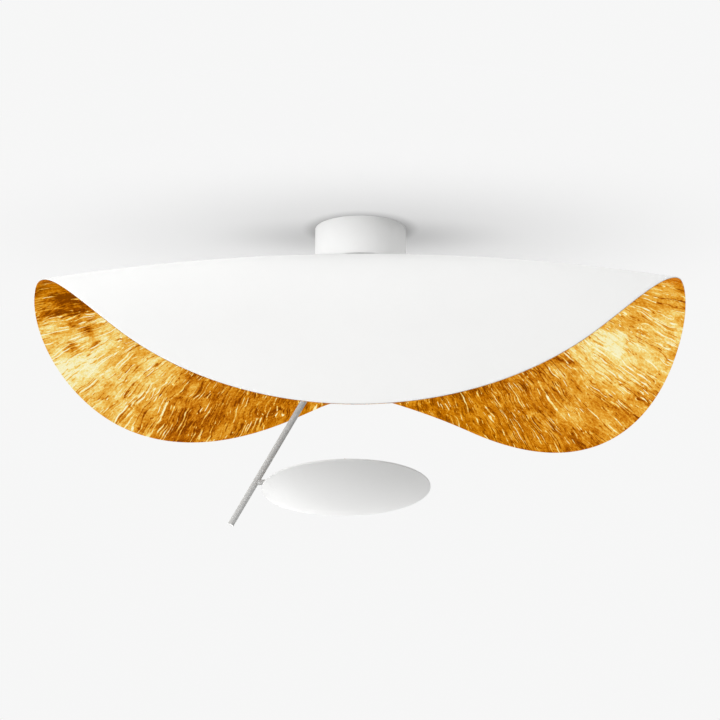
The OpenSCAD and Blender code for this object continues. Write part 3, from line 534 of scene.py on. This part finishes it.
turnedFinishes = {
    "satinGrey": {
        "tone": (0.64, 0.64, 0.63), "shade": (0.60, 0.60, 0.59), "stretch": (90.0, 90.0, 90.0),
        "roughness": 0.5, "spread": 0.06, "depth": 0.000001, "metallic": 0.0,
    },
    "zincPlate": {
        "tone": (0.66, 0.68, 0.70), "shade": (0.50, 0.52, 0.55), "stretch": (300.0, 300.0, 300.0),
        "roughness": 0.35, "spread": 0.25, "depth": 0.00003,
    },
    "brightSteel": {
        "tone": (0.72, 0.72, 0.73), "shade": (0.55, 0.55, 0.56), "stretch": (60.0, 60.0, 3500.0),
        "roughness": 0.22, "spread": 0.15, "depth": 0.00002,
    },
    "turnedBrass": {
        "tone": (0.80, 0.60, 0.26), "shade": (0.62, 0.43, 0.15), "stretch": (60.0, 60.0, 3500.0),
        "roughness": 0.25, "spread": 0.15, "depth": 0.00002,
    },
    "bareSheet": {
        "tone": (0.76, 0.77, 0.78), "shade": (0.66, 0.67, 0.68), "stretch": (2200.0, 30.0, 30.0),
        "roughness": 0.32, "spread": 0.15, "depth": 0.00002,
    },
}

# Places are in metres on the flat leaf, from its middle. Each painted light patch is (across, along,
# half width, half height, turn in degrees, how much paler it makes the leaf): a painted highlight
# where it makes the leaf paler, painted shade where it makes it darker.
goldSettings = {
    "tones": [
        (0.00, (0.220, 0.042, 0.001)),
        (0.10, (0.350, 0.080, 0.002)),
        (0.25, (0.580, 0.175, 0.005)),
        (0.40, (0.760, 0.310, 0.018)),
        (0.55, (0.880, 0.460, 0.060)),
        (0.70, (0.950, 0.650, 0.165)),
        (0.85, (0.985, 0.835, 0.335)),
        (1.00, (1.000, 0.945, 0.600)),
    ],
    "edgeTint": (1.0, 0.80, 0.42),
    "level": 0.270,               # of the plain leaf, before its painted highlights, painted shade and noises
    "paintedLightPatches": [
        (-0.472, 0.110, 0.060, 0.105, 0.0, 0.46),
        (-0.395, 0.175, 0.115, 0.125, 0.0, 0.40),
        (-0.410, 0.085, 0.050, 0.040, 0.0, 0.16),
        (-0.312, 0.245, 0.065, 0.055, 0.0, 0.24),
        (-0.430, -0.005, 0.060, 0.035, 0.0, -0.28),
        (-0.318, 0.370, 0.045, 0.045, 0.0, -0.14),
        (0.440, 0.050, 0.120, 0.170, 0.0, 0.27),
        (0.385, 0.100, 0.045, 0.095, 15.0, 0.32),
        (0.475, 0.000, 0.040, 0.050, 0.0, 0.15),
        (0.375, 0.215, 0.080, 0.070, 0.0, 0.06),
        (0.445, 0.075, 0.045, 0.050, 0.0, 0.14),
        (0.000, -0.280, 0.300, 0.130, 0.0, 0.20),
    ],
    "paintedPatchSpan": (0.3, 1.3),       # where a painted light patch starts to fade and where it ends, in half widths
    "fray": (15.0, 5.0, 0.65),    # scale, detail and roughness of the noise that frays the painted light patches
    "frayReach": 0.24,
    # Scale, detail, roughness and distortion of each noise
    "noises": {
        "wide": (6.0, 3.0, 0.55, 0.0),        # slow change from brown to yellow
        "patch": (22.0, 6.0, 0.64, 1.1),      # cloudy patches
        "fleck": (260.0, 3.0, 0.65, 0.0),     # torn edges of the leaf
        "speck": (520.0, 2.0, 0.5, 0.0),
        "cluster": (34.0, 3.0, 0.5, 0.0),     # where strokes lie close together
    },
    "strokes": {
        "fine": {"Round": 820.0, "Along": 19.0, "Bend": 0.05, "Low": 0.57, "High": 0.67},
        "broad": {"Round": 280.0, "Along": 12.0, "Bend": 0.07, "Shift": 7.0, "Low": 0.35, "High": 0.65},
        "dark": {"Round": 800.0, "Along": 24.0, "Bend": 0.05, "Shift": 19.0, "Low": 0.57, "High": 0.68},
    },
    "toneGain": {"wide": 0.50, "patch": 1.06, "fleck": 0.88, "broad": 0.16},
    "clusterSpan": (0.42, 0.58),
    "fineGain": (0.16, 0.68),     # away from the clusters and within them
    "darkGain": -0.34,
    "roughness": 0.38,
    "glossGain": {"fine": -0.14, "fleck": 0.25},
    "heightGain": {"fleck": 0.6, "fine": 0.5, "broad": 0.8, "speck": 0.25},
    "bumpStrength": 0.55,
    "bumpDepth": 0.0006,
}


def paintedLightAreas(tree, spot):
    # painted highlights and painted shade on the leaf: soft-edged patches made paler or darker, with
    # frayed borders
    s = goldSettings
    drift = driftNode(tree, spot, *s["fray"])
    frayed = vectorNode(tree, "MULTIPLY_ADD", drift, (s["frayReach"],) * 3, spot)
    total = s["level"]
    for across, along, halfWidth, halfHeight, turn, gain in s["paintedLightPatches"]:
        placed = placedVector(
            tree, frayed, (across, along, 0.0), (halfWidth, halfHeight, 1.0),
            (0.0, 0.0, math.radians(turn)),
        )
        reach = lengthNode(tree, vectorNode(tree, "MULTIPLY", placed, (1.0, 1.0, 0.0)))
        share = rangeNode(tree, reach, *s["paintedPatchSpan"], gain, 0.0, smooth=True)
        total = mathNode(tree, "ADD", share, total)
    return total


def goldFinish():
    s = goldSettings
    material, tree, shader = startMaterial("goldLeaf")
    spot = leafPoint2d(tree)
    layers = {name: noiseNode(tree, spot, *values) for name, values in s["noises"].items()}
    for name, values in s["strokes"].items():
        layers[name] = placeGroup(tree, strokeGroup, {"Vector": spot, **values})["Mask"]
    # the leaf's tone starts from its painted highlights and painted shade
    value = paintedLightAreas(tree, spot)
    for name, gain in s["toneGain"].items():
        layer = mathNode(tree, "SUBTRACT", layers[name], 0.5)
        value = mathNode(tree, "MULTIPLY_ADD", layer, gain, value)
    gathered = rangeNode(tree, layers["cluster"], *s["clusterSpan"], *s["fineGain"])
    value = mathNode(tree, "ADD", value, mathNode(tree, "MULTIPLY", layers["fine"], gathered))
    value = mathNode(tree, "MULTIPLY_ADD", layers["dark"], s["darkGain"], value, clamp=True)
    tree.links.new(rampNode(tree, value, s["tones"]), shader.inputs["Base Color"])
    shader.inputs["Metallic"].default_value = 1.0
    shader.inputs["Specular Tint"].default_value = opaque(s["edgeTint"])
    gloss = mathNode(tree, "MULTIPLY_ADD", layers["fine"], s["glossGain"]["fine"], s["roughness"])
    torn = mathNode(tree, "SUBTRACT", layers["fleck"], 0.5)
    gloss = mathNode(tree, "MULTIPLY_ADD", torn, s["glossGain"]["fleck"], gloss)
    tree.links.new(gloss, shader.inputs["Roughness"])
    height = 0.0
    for name, gain in s["heightGain"].items():
        height = mathNode(tree, "MULTIPLY_ADD", layers[name], gain, height)
    bump = addNode(tree, "Bump", {
        "Strength": s["bumpStrength"], "Distance": s["bumpDepth"], "Height": height,
    })
    tree.links.new(bump.outputs["Normal"], shader.inputs["Normal"])
    return material


finishes = {name: grainFinish(name, settings) for name, settings in grainFinishes.items()}
finishes.update({name: turnedFinish(name, settings) for name, settings in turnedFinishes.items()})
finishes["goldLeaf"] = goldFinish()
print("finishes made:", len(finishes))

# The record's slots and the finish that each one shows
slotFinish = {
    "white_lacquer": "lacquer",
    "white_screws": "screwEnamel",
    "gold_leaf": "goldLeaf",
    "satin_grey": "satinGrey",
    "zinc_steel": "zincPlate",
    "bright_steel": "brightSteel",
    "brass": "turnedBrass",
    "ivory_plastic": "ivoryNylon",
    "driver_case": "driverCase",
    "connector_plastic": "connectorNylon",
    "lead_jacket": "leadJacket",
    "black_rubber": "softRubber",
    "bare_aluminium": "bareSheet",
    "white_board": "boardMask",
    "led_phosphor": "ledPhosphor",
    "white_plastic": "whiteNylon",
    "opal": "opalAcrylic",
}


def paintCadNodes():
    for row in frame["record"]["subparts"]:
        mesh = nodes[row["node"]].data
        mesh.materials.clear()
        mesh.materials.append(finishes[slotFinish[row["material_slot"]]])


# Mesh helpers

mirrorMerge = 1e-7
seamMerge = 2e-7
softAngle = 35.0          # degrees, past which an edge stays sharp


def roundCorners(corners, steps=5):
    # corners are (radius, height, rounding) in order round a closed outline
    points = []
    for i, (r, z, rounding) in enumerate(corners):
        here = Vector((r, z))
        if not rounding:
            points.append(here)
            continue
        before = Vector(corners[i - 1][:2]) - here
        after = Vector(corners[(i + 1) % len(corners)][:2]) - here
        half = before.angle(after) / 2.0
        along = rounding / math.tan(half)
        first = here + before.normalized() * along
        last = here + after.normalized() * along
        inward = (before.normalized() + after.normalized()).normalized()
        centre = here + inward * (rounding / math.sin(half))
        sweep = (first - centre).angle_signed(last - centre)
        for k in range(steps + 1):
            spoke = first - centre
            spoke.rotate(Matrix.Rotation(-sweep * k / steps, 2))
            points.append(centre + spoke)
    return [(p.x, p.y) for p in points]


def spinOutline(points, steps, closed=True):
    # a quarter is spun, then mirrored twice, which is far quicker than a full spin
    bm = bmesh.new()
    verts = [bm.verts.new((r, 0.0, z)) for r, z in points]
    edges = [bm.edges.new(pair) for pair in zip(verts, verts[1:])]
    if closed:
        edges.append(bm.edges.new((verts[-1], verts[0])))
    bmesh.ops.spin(
        bm, geom=verts + edges, axis=(0, 0, 1), cent=(0, 0, 0), dvec=(0, 0, 0),
        angle=math.pi / 2.0, steps=steps // 4, use_merge=False, use_duplicate=False,
    )
    for axis in ("X", "Y"):
        everything = bm.verts[:] + bm.edges[:] + bm.faces[:]
        bmesh.ops.mirror(bm, geom=everything, merge_dist=mirrorMerge, axis=axis)
    bmesh.ops.remove_doubles(bm, verts=bm.verts, dist=seamMerge)
    bmesh.ops.recalc_face_normals(bm, faces=bm.faces)
    return bm


def meshObject(name, bm, material):
    mesh = bpy.data.meshes.new(name)
    bm.to_mesh(mesh)
    bm.free()
    mesh.materials.append(material)
    return addObject(name, mesh)


def finishPiece(name, bm, slotName, body, replaced, place=None, sharpAngle=softAngle):
    if place is not None:
        bmesh.ops.transform(bm, matrix=place, verts=bm.verts)
    limit = math.radians(sharpAngle)
    for face in bm.faces:
        face.smooth = True
    for edge in bm.edges:
        if len(edge.link_faces) == 2 and edge.calc_face_angle(0.0) > limit:
            edge.smooth = False
    piece = meshObject(name, bm, finishes[slotFinish[slotName]])
    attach(piece, body)
    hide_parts(*replaced)
    return piece


# The leaf: a flat disc bent down along a curved fold at the front and one at each side of the
# rear. It stays flat at its seat, where it is clamped, and its crown line droops to both ends.

leafSettings = {
    "radius": 0.5,
    "seatRadius": 0.026,
    "holeRadius": 0.00525,
    "top": -0.061,            # its upper face at the seat
    "crownDrop": 0.059,
    "seatBlend": 0.060,       # past the seat, to where the droop is full
    "sheet": 0.0016,
    "lining": 0.0004,
    "slopeStep": 0.0005,      # reach over which its slope is measured
    "front": {"bearing": 180.0, "gap": 0.001, "bow": 0.053, "bendRadius": 0.263, "angle": 66.0},
    "rearLeft": {"bearing": 40.0, "gap": 0.030, "bow": 0.200, "bendRadius": 0.575, "angle": 36.5},
    "rearRight": {"bearing": -48.5, "gap": 0.088, "bow": 0.200, "bendRadius": 0.260, "angle": 37.0},
    "rimSteps": 6,
    "shellSectors": 360,
    "shellRings": 76,
    "liningSectors": 840,
    "liningRings": 100,
    "liningBackRings": 6,
    "liningSharpAngle": 80.0,
}


def foldOffsets(u, w, fold):
    # how far a fold draws the point in along its heading, and how far it drops it
    heading = math.radians(fold["bearing"])
    nx, ny = -math.sin(heading), math.cos(heading)
    across = (w * nx - u * ny) / leafSettings["radius"]
    beyond = u * nx + w * ny - leafSettings["seatRadius"] - fold["gap"] - fold["bow"] * across**2
    beyond = np.maximum(beyond, 0.0)
    bend, full = fold["bendRadius"], math.radians(fold["angle"])
    angle = np.minimum(beyond / bend, full)
    straight = np.maximum(beyond - bend * full, 0.0)
    shift = bend * np.sin(angle) + straight * math.cos(full) - beyond
    drop = bend * (1.0 - np.cos(angle)) + straight * math.sin(full)
    return shift * nx, shift * ny, drop


def pastSeat(rho):
    # 0 at the seat, 1 where the droop and the relief are full
    return np.clip((rho - leafSettings["seatRadius"]) / leafSettings["seatBlend"], 0.0, 1.0)


def leafPoints(u, w):
    s = leafSettings
    x, y = u.copy(), w.copy()
    z = s["top"] - s["crownDrop"] * (u / s["radius"]) ** 2 * pastSeat(np.hypot(u, w))
    for name in ("front", "rearLeft", "rearRight"):
        dx, dy, drop = foldOffsets(u, w, s[name])
        x, y, z = x + dx, y + dy, z - drop
    return np.stack([x, y, z], axis=1)


def leafInward(u, w):
    # the unit vector from the upper face into the sheet
    step = leafSettings["slopeStep"]
    alongU = leafPoints(u + step, w) - leafPoints(u - step, w)
    alongW = leafPoints(u, w + step) - leafPoints(u, w - step)
    inward = np.cross(alongW, alongU)
    return inward / np.linalg.norm(inward, axis=1)[:, None]


def bendToLeaf(bm, relief=None):
    # a flat spun sheet has its depth in z: each vertex goes to its place on the bent leaf
    bm.verts.ensure_lookup_table()
    flat = np.array([v.co[:] for v in bm.verts])
    u, w, depth = flat[:, 0], flat[:, 1], flat[:, 2]
    if relief is not None:
        depth = depth + relief(u, w, depth)
    placed = leafPoints(u, w) + depth[:, None] * leafInward(u, w)
    uvLayer = bm.loops.layers.uv.new("leafFlat")
    for face in bm.faces:
        for loop in face.loops:
            i = loop.vert.index
            loop[uvLayer].uv = (u[i] + 0.5, w[i] + 0.5)
    for vert, place in zip(bm.verts, placed):
        vert.co = place


def ringStations(count):
    hole, seat, edge = (leafSettings[key] for key in ("holeRadius", "seatRadius", "radius"))
    stations = [hole, (hole + seat) / 2.0]
    return stations + [seat + (edge - seat) * i / count for i in range(count + 1)]


def sheetOutline(outer, inner, edgeRound, rings, backRings):
    # outer and inner are depths below the leaf's upper face; the rim is rounded
    front = [(r, inner) for r in ringStations(rings)]
    back = [(r, outer) for r in ringStations(backRings)]
    edge = leafSettings["radius"]
    front[-1] = (edge - edgeRound, inner)
    back[-1] = (edge - edgeRound, outer)
    middle = (outer + inner) / 2.0
    steps = leafSettings["rimSteps"]
    arc = [
        (edge - edgeRound + edgeRound * math.sin(a), middle + (inner - outer) / 2.0 * math.cos(a))
        for a in (math.pi * k / steps for k in range(1, steps))
    ]
    return front + arc + back[::-1]


def buildLeafShell():
    outline = sheetOutline(
        0.0, leafSettings["sheet"], leafSettings["sheet"] / 2.0,
        leafSettings["shellRings"], leafSettings["shellRings"],
    )
    bm = spinOutline(outline, leafSettings["shellSectors"])
    bendToLeaf(bm)
    bmesh.ops.recalc_face_normals(bm, faces=bm.faces)
    finishPiece("leafShell", bm, "white_lacquer", "ceiling_set", ["leaf_shade"])


reliefSettings = {
    "waveDepth": 0.00022,     # broad brush marks
    "waveRound": 60.0,
    "waveAlong": 16.0,
    "dentDepth": 0.00016,     # uneven size under the leaf
    "dentScale": 42.0,
    "dentLayer": 3.0,         # height in the noise, to keep the two apart
    "lift": 0.0001,           # what the whole underside comes out by, so that none of it sinks in
    "rimFade": 0.012,
    "underShare": 0.9,        # of the lining's depth, past which a point is on the underside
}


def liningRelief(u, w, depth):
    s = reliefSettings
    rho = np.hypot(u, w)
    under = depth > leafSettings["sheet"] + s["underShare"] * leafSettings["lining"]
    fade = np.clip((leafSettings["radius"] - rho) / s["rimFade"], 0.0, 1.0) * pastSeat(rho)
    offset = np.zeros_like(rho)
    for i in np.nonzero(under & (fade > 0.0))[0]:
        r = rho[i]
        heading = Vector((u[i] / r, w[i] / r, 0.0)) * s["waveRound"]
        wave = noise.noise(heading + Vector((0.0, 0.0, r * s["waveAlong"])))
        dent = noise.noise(Vector((u[i], w[i], s["dentLayer"])) * s["dentScale"])
        offset[i] = s["waveDepth"] * wave + s["dentDepth"] * dent
    return (offset + np.where(under, s["lift"], 0.0)) * fade


def buildGoldLining():
    top = leafSettings["sheet"]
    outline = sheetOutline(
        top, top + leafSettings["lining"], leafSettings["lining"] / 2.0,
        leafSettings["liningRings"], leafSettings["liningBackRings"],
    )
    bm = spinOutline(outline, leafSettings["liningSectors"])
    bendToLeaf(bm, liningRelief)
    bmesh.ops.recalc_face_normals(bm, faces=bm.faces)
    lining = finishPiece(
        "goldLining", bm, "gold_leaf", "ceiling_set", ["leaf_lining"],
        sharpAngle=leafSettings["liningSharpAngle"],
    )
    lining.visible_diffuse = False      # the rod and the disc keep their own colour under the gold


# Canopy and the swivel's cup

canopySettings = {
    "radius": 0.070, "height": 0.060, "wall": 0.0015, "ceilingGap": 0.0005,
    "hole": 0.00525, "lowerRound": 0.0011, "upperRound": 0.0004, "steps": 160,
}

cupSettings = {
    "radius": 0.0276, "top": -0.064, "low": -0.097, "wall": 0.002, "floor": 0.004,
    "bushHole": 0.00905, "edgeRound": 0.0012, "rimRound": 0.0003, "innerRound": 0.0005, "steps": 96,
}


def buildCanopy():
    s = canopySettings
    corners = [
        (s["hole"], -s["height"], 0.0),
        (s["radius"], -s["height"], s["lowerRound"]),
        (s["radius"], -s["ceilingGap"], s["upperRound"]),
        (s["radius"] - s["wall"], -s["ceilingGap"], s["upperRound"]),
        (s["radius"] - s["wall"], -s["height"] + s["wall"], s["lowerRound"]),
        (s["hole"], -s["height"] + s["wall"], 0.0),
    ]
    bm = spinOutline(roundCorners(corners), s["steps"])
    finishPiece("canopyCup", bm, "white_lacquer", "ceiling_set", ["canopy"])


def buildHubCup():
    s = cupSettings
    corners = [
        (s["bushHole"], s["low"], 0.0),
        (s["radius"], s["low"], s["edgeRound"]),
        (s["radius"], s["top"], s["rimRound"]),
        (s["radius"] - s["wall"], s["top"], s["rimRound"]),
        (s["radius"] - s["wall"], s["low"] + s["floor"], s["innerRound"]),
        (s["bushHole"], s["low"] + s["floor"], 0.0),
    ]
    bm = spinOutline(roundCorners(corners), s["steps"])
    finishPiece("swivelCup", bm, "white_lacquer", "ceiling_set", ["hub_cup"])


# Light disc

discSettings = {
    "radius": 0.128,
    "edge": 0.001,            # height of its rim, over which the lens begins
    "depth": 0.014,
    "fullness": 2.3,          # 2 is a plain bowl, more is flatter in the middle
    "wall": 0.0015,
    "rimWidth": 0.009,
    "rimThick": 0.002,
    "coverThick": 0.0012,
    "coverWidth": 0.0315,
    "coverRounds": (0.0002, 0.0002, 0.0006, 0.0005),      # lower two corners, then upper two
    "lap": 0.007,             # the diffuser under the cover
    "diffuser": 0.002,
    "diffuserRound": 0.0004,
    "boardGap": 0.007,        # the board's rim inside the diffuser's
    "ledge": 0.006,           # depths of the seats of the board and of the spacer
    "step": 0.0048,
    "ledgeWidth": 0.008,
    "room": 0.0003,
    "lip": 0.0003,
    "lipCut": (0.3, 0.2),     # shares of the lip that its middle points stand back by, above and below
    "firstStep": 0.4,         # of a step, from the rim to the lens's first ring
    "curveSteps": 28,
    "steps": 240,
}


def panDrop(r):
    s = discSettings
    return s["edge"] + (s["depth"] - s["edge"]) * (1.0 - (r / s["radius"]) ** s["fullness"])


def panOutline():
    s = discSettings
    edge, lip, count, first = s["radius"], s["lip"], s["curveSteps"], s["firstStep"]
    above, below = (lip * share for share in s["lipCut"])
    glass = edge - s["coverWidth"] + s["lap"]
    board = glass - s["boardGap"]
    ledge = board - s["ledgeWidth"]
    lens = [edge * (1.0 - (k + first) / (count + first)) for k in range(count + 1)]
    outer = [(edge - lip, 0.0), (edge - above, -above), (edge, -lip)]
    outer += [(edge, -s["edge"] + lip), (edge - below, -s["edge"] - below)]
    outer += [(r, -panDrop(r)) for r in lens]
    inner = [(r, s["wall"] - panDrop(r)) for r in (ledge * k / count for k in range(count + 1))]
    inner += [(ledge, -s["ledge"]), (board + s["room"], -s["ledge"])]
    inner += [(board + s["room"], -s["step"]), (glass + s["room"], -s["step"])]
    inner += [(edge - s["rimWidth"], -s["rimThick"]), (edge - s["rimWidth"], 0.0)]
    return outer + inner


def buildDisc():
    s = discSettings
    bm = spinOutline(panOutline(), s["steps"])
    finishPiece("discPan", bm, "white_lacquer", "light_disc", ["disc_pan"], place=atDisc)
    coverIn = s["radius"] - s["coverWidth"]
    lowIn, lowOut, highOut, highIn = s["coverRounds"]
    corners = [
        (coverIn, 0.0, lowIn),
        (s["radius"], 0.0, lowOut),
        (s["radius"], s["coverThick"], highOut),
        (coverIn, s["coverThick"], highIn),
    ]
    bm = spinOutline(roundCorners(corners), s["steps"])
    finishPiece("discCover", bm, "white_lacquer", "light_disc", ["top_cover"], place=atDisc)
    edge = coverIn + s["lap"]
    corners = [
        (0.0, -s["diffuser"], 0.0),
        (edge, -s["diffuser"], s["diffuserRound"]),
        (edge, 0.0, s["diffuserRound"]),
        (0.0, 0.0, 0.0),
    ]
    bm = spinOutline(roundCorners(corners), s["steps"], closed=False)
    finishPiece("diffuserPlate", bm, "opal", "light_disc", ["diffuser"], place=atDisc)


# Cap at the rod's lower end

capSettings = {
    "radius": 0.00475, "thick": 0.0025, "chamfer": 0.0007, "upperRound": 0.0001,
    "spigot": 0.008, "spigotRadius": 0.0032, "spigotRound": 0.0003, "cornerSteps": 3, "steps": 48,
}


def buildRodCap():
    s = capSettings
    end = armSizes["reach"]
    shoulder = end - s["thick"]
    corners = [
        (0.0, shoulder - s["spigot"], 0.0),
        (s["spigotRadius"], shoulder - s["spigot"], s["spigotRound"]),
        (s["spigotRadius"], shoulder, 0.0),
        (s["radius"], shoulder, s["upperRound"]),
        (s["radius"], end, s["chamfer"]),
        (0.0, end, 0.0),
    ]
    bm = spinOutline(roundCorners(corners, s["cornerSteps"]), s["steps"], closed=False)
    finishPiece("rodEndCap", bm, "satin_grey", "arm", ["rod_cap"], place=alongRod)


# Room

def oneSidedMaterial(name, surface):
    # surface makes a shader for the front; the back lets the view through
    material = bpy.data.materials.new(name)
    material.use_nodes = True
    tree = material.node_tree
    tree.nodes.clear()
    clear = addNode(tree, "BsdfTransparent").outputs["BSDF"]
    behind = addNode(tree, "NewGeometry").outputs["Backfacing"]
    addNode(tree, "OutputMaterial", {"Surface": mixShaders(tree, behind, surface(tree), clear)})
    return material


def litPlaster(tree, tone, glow):
    # plaster that also gives a little light by itself
    plaster = addNode(tree, "BsdfDiffuse", {"Color": opaque(tone)}).outputs["BSDF"]
    emission = addNode(tree, "Emission", {"Strength": glow}).outputs["Emission"]
    return addNode(tree, "AddShader", {0: plaster, 1: emission}).outputs["Shader"]


def paperMix(tree, shader, factor, tone=roomSettings["paper"]):
    paper = addNode(tree, "Emission", {"Color": opaque(tone), "Strength": 1.0}).outputs["Emission"]
    return mixShaders(tree, factor, shader, paper)


def ceilingSurface(tree):
    # what the ceiling gives the object and what the view sees of it are set apart; what the view sees
    # has painted shade round the canopy on top of its real shading
    s = roomSettings
    spot = objectPoint(tree)
    away = lengthNode(tree, spot)
    glow = rangeNode(tree, away, *s["glowRing"], 0.0, s["ceilingGlow"], smooth=True)
    bowed = lengthNode(tree, placedVector(tree, spot, s["paintedShadeCentre"], s["paintedShadeStretch"]))
    # painted shade: the glow that the view sees rises ring by ring away from the canopy
    paintedShadeGlow = s["paintedShadeGlow"][0]
    for ring, gain in zip(s["paintedShadeRings"], s["paintedShadeGlow"][1:]):
        step = rangeNode(tree, bowed, *ring, 0.0, gain, smooth=True)
        paintedShadeGlow = mathNode(tree, "ADD", step, paintedShadeGlow)
    # painted contact shadow round the canopy's top
    contactShadow = rangeNode(tree, away, *s["contactShadowRing"], -s["contactShadowDepth"], 0.0, smooth=True)
    paintedShadeGlow = mathNode(tree, "ADD", paintedShadeGlow, contactShadow)
    path = addNode(tree, "LightPath").outputs
    seen = mathNode(tree, "MAXIMUM", path["Is Camera Ray"], path["Is Glossy Ray"])
    given = litPlaster(tree, s["ceilingTone"], glow)
    shown = litPlaster(tree, s["seenTone"], paintedShadeGlow)
    far = rangeNode(tree, away, *s["paperRing"], smooth=True)
    return paperMix(tree, mixShaders(tree, seen, given, shown), mathNode(tree, "MULTIPLY", far, seen))


def floorSurface(tree):
    s = roomSettings
    path = addNode(tree, "LightPath").outputs
    far = rangeNode(tree, lengthNode(tree, objectPoint(tree)), *s["floorRing"], smooth=True)
    glow = rangeNode(tree, path["Is Camera Ray"], 0.0, 1.0, s["floorGlow"], s["floorSeenGlow"])
    paper = mathNode(tree, "MULTIPLY", far, path["Is Camera Ray"])
    pale = paperMix(tree, litPlaster(tree, s["floorTone"], glow), paper)
    return paperMix(tree, pale, path["Is Glossy Ray"], s["mirrored"])


def buildSheetOfRoom(name, height, material, faceDown):
    bm = bmesh.new()
    bmesh.ops.create_grid(bm, x_segments=1, y_segments=1, size=roomSettings["halfWidth"])
    if faceDown:
        bmesh.ops.reverse_faces(bm, faces=bm.faces)
    bmesh.ops.translate(bm, verts=bm.verts, vec=(0.0, 0.0, height))
    sheet = meshObject(name, bm, material)


def buildWorld():
    world = bpy.data.worlds.new("softRoom")
    bpy.context.scene.world = world
    world.use_nodes = True
    tree = world.node_tree
    tree.nodes.clear()
    s = roomSettings
    path = addNode(tree, "LightPath").outputs
    tone = mixColour(tree, path["Is Glossy Ray"], opaque(s["paper"]), opaque(s["mirrored"]))
    paper = addNode(tree, "Background", {"Color": tone, "Strength": 1.0}).outputs["Background"]
    soft = addNode(tree, "Background", {"Color": opaque(s["worldTone"]), "Strength": s["worldStrength"]})
    seen = mathNode(tree, "MAXIMUM", path["Is Camera Ray"], path["Is Glossy Ray"])
    seen = mathNode(tree, "MAXIMUM", seen, path["Is Transmission Ray"])
    addNode(tree, "OutputWorld", {"Surface": mixShaders(tree, seen, soft.outputs["Background"], paper)})


bpy.context.scene.view_settings.view_transform = "Standard"
placeCamera()
for lampName, settings in lampSettings.items():
    placeLamp(lampName, settings, shotSettings["aim"])
placeSpot()
buildWorld()
plaster = oneSidedMaterial("ceilingPlaster", ceilingSurface)
buildSheetOfRoom("ceiling", roomSettings["ceilingGap"], plaster, True)
floorPaper = oneSidedMaterial("floorPaper", floorSurface)
buildSheetOfRoom("floor", -roomSettings["floorDrop"], floorPaper, False)
print("camera, lamps and room placed")

paintCadNodes()
print("frame painted")
buildLeafShell()
buildGoldLining()
print("leaf bent")
buildCanopy()
buildHubCup()
buildDisc()
buildRodCap()
print("canopy, cup, disc and cap turned")
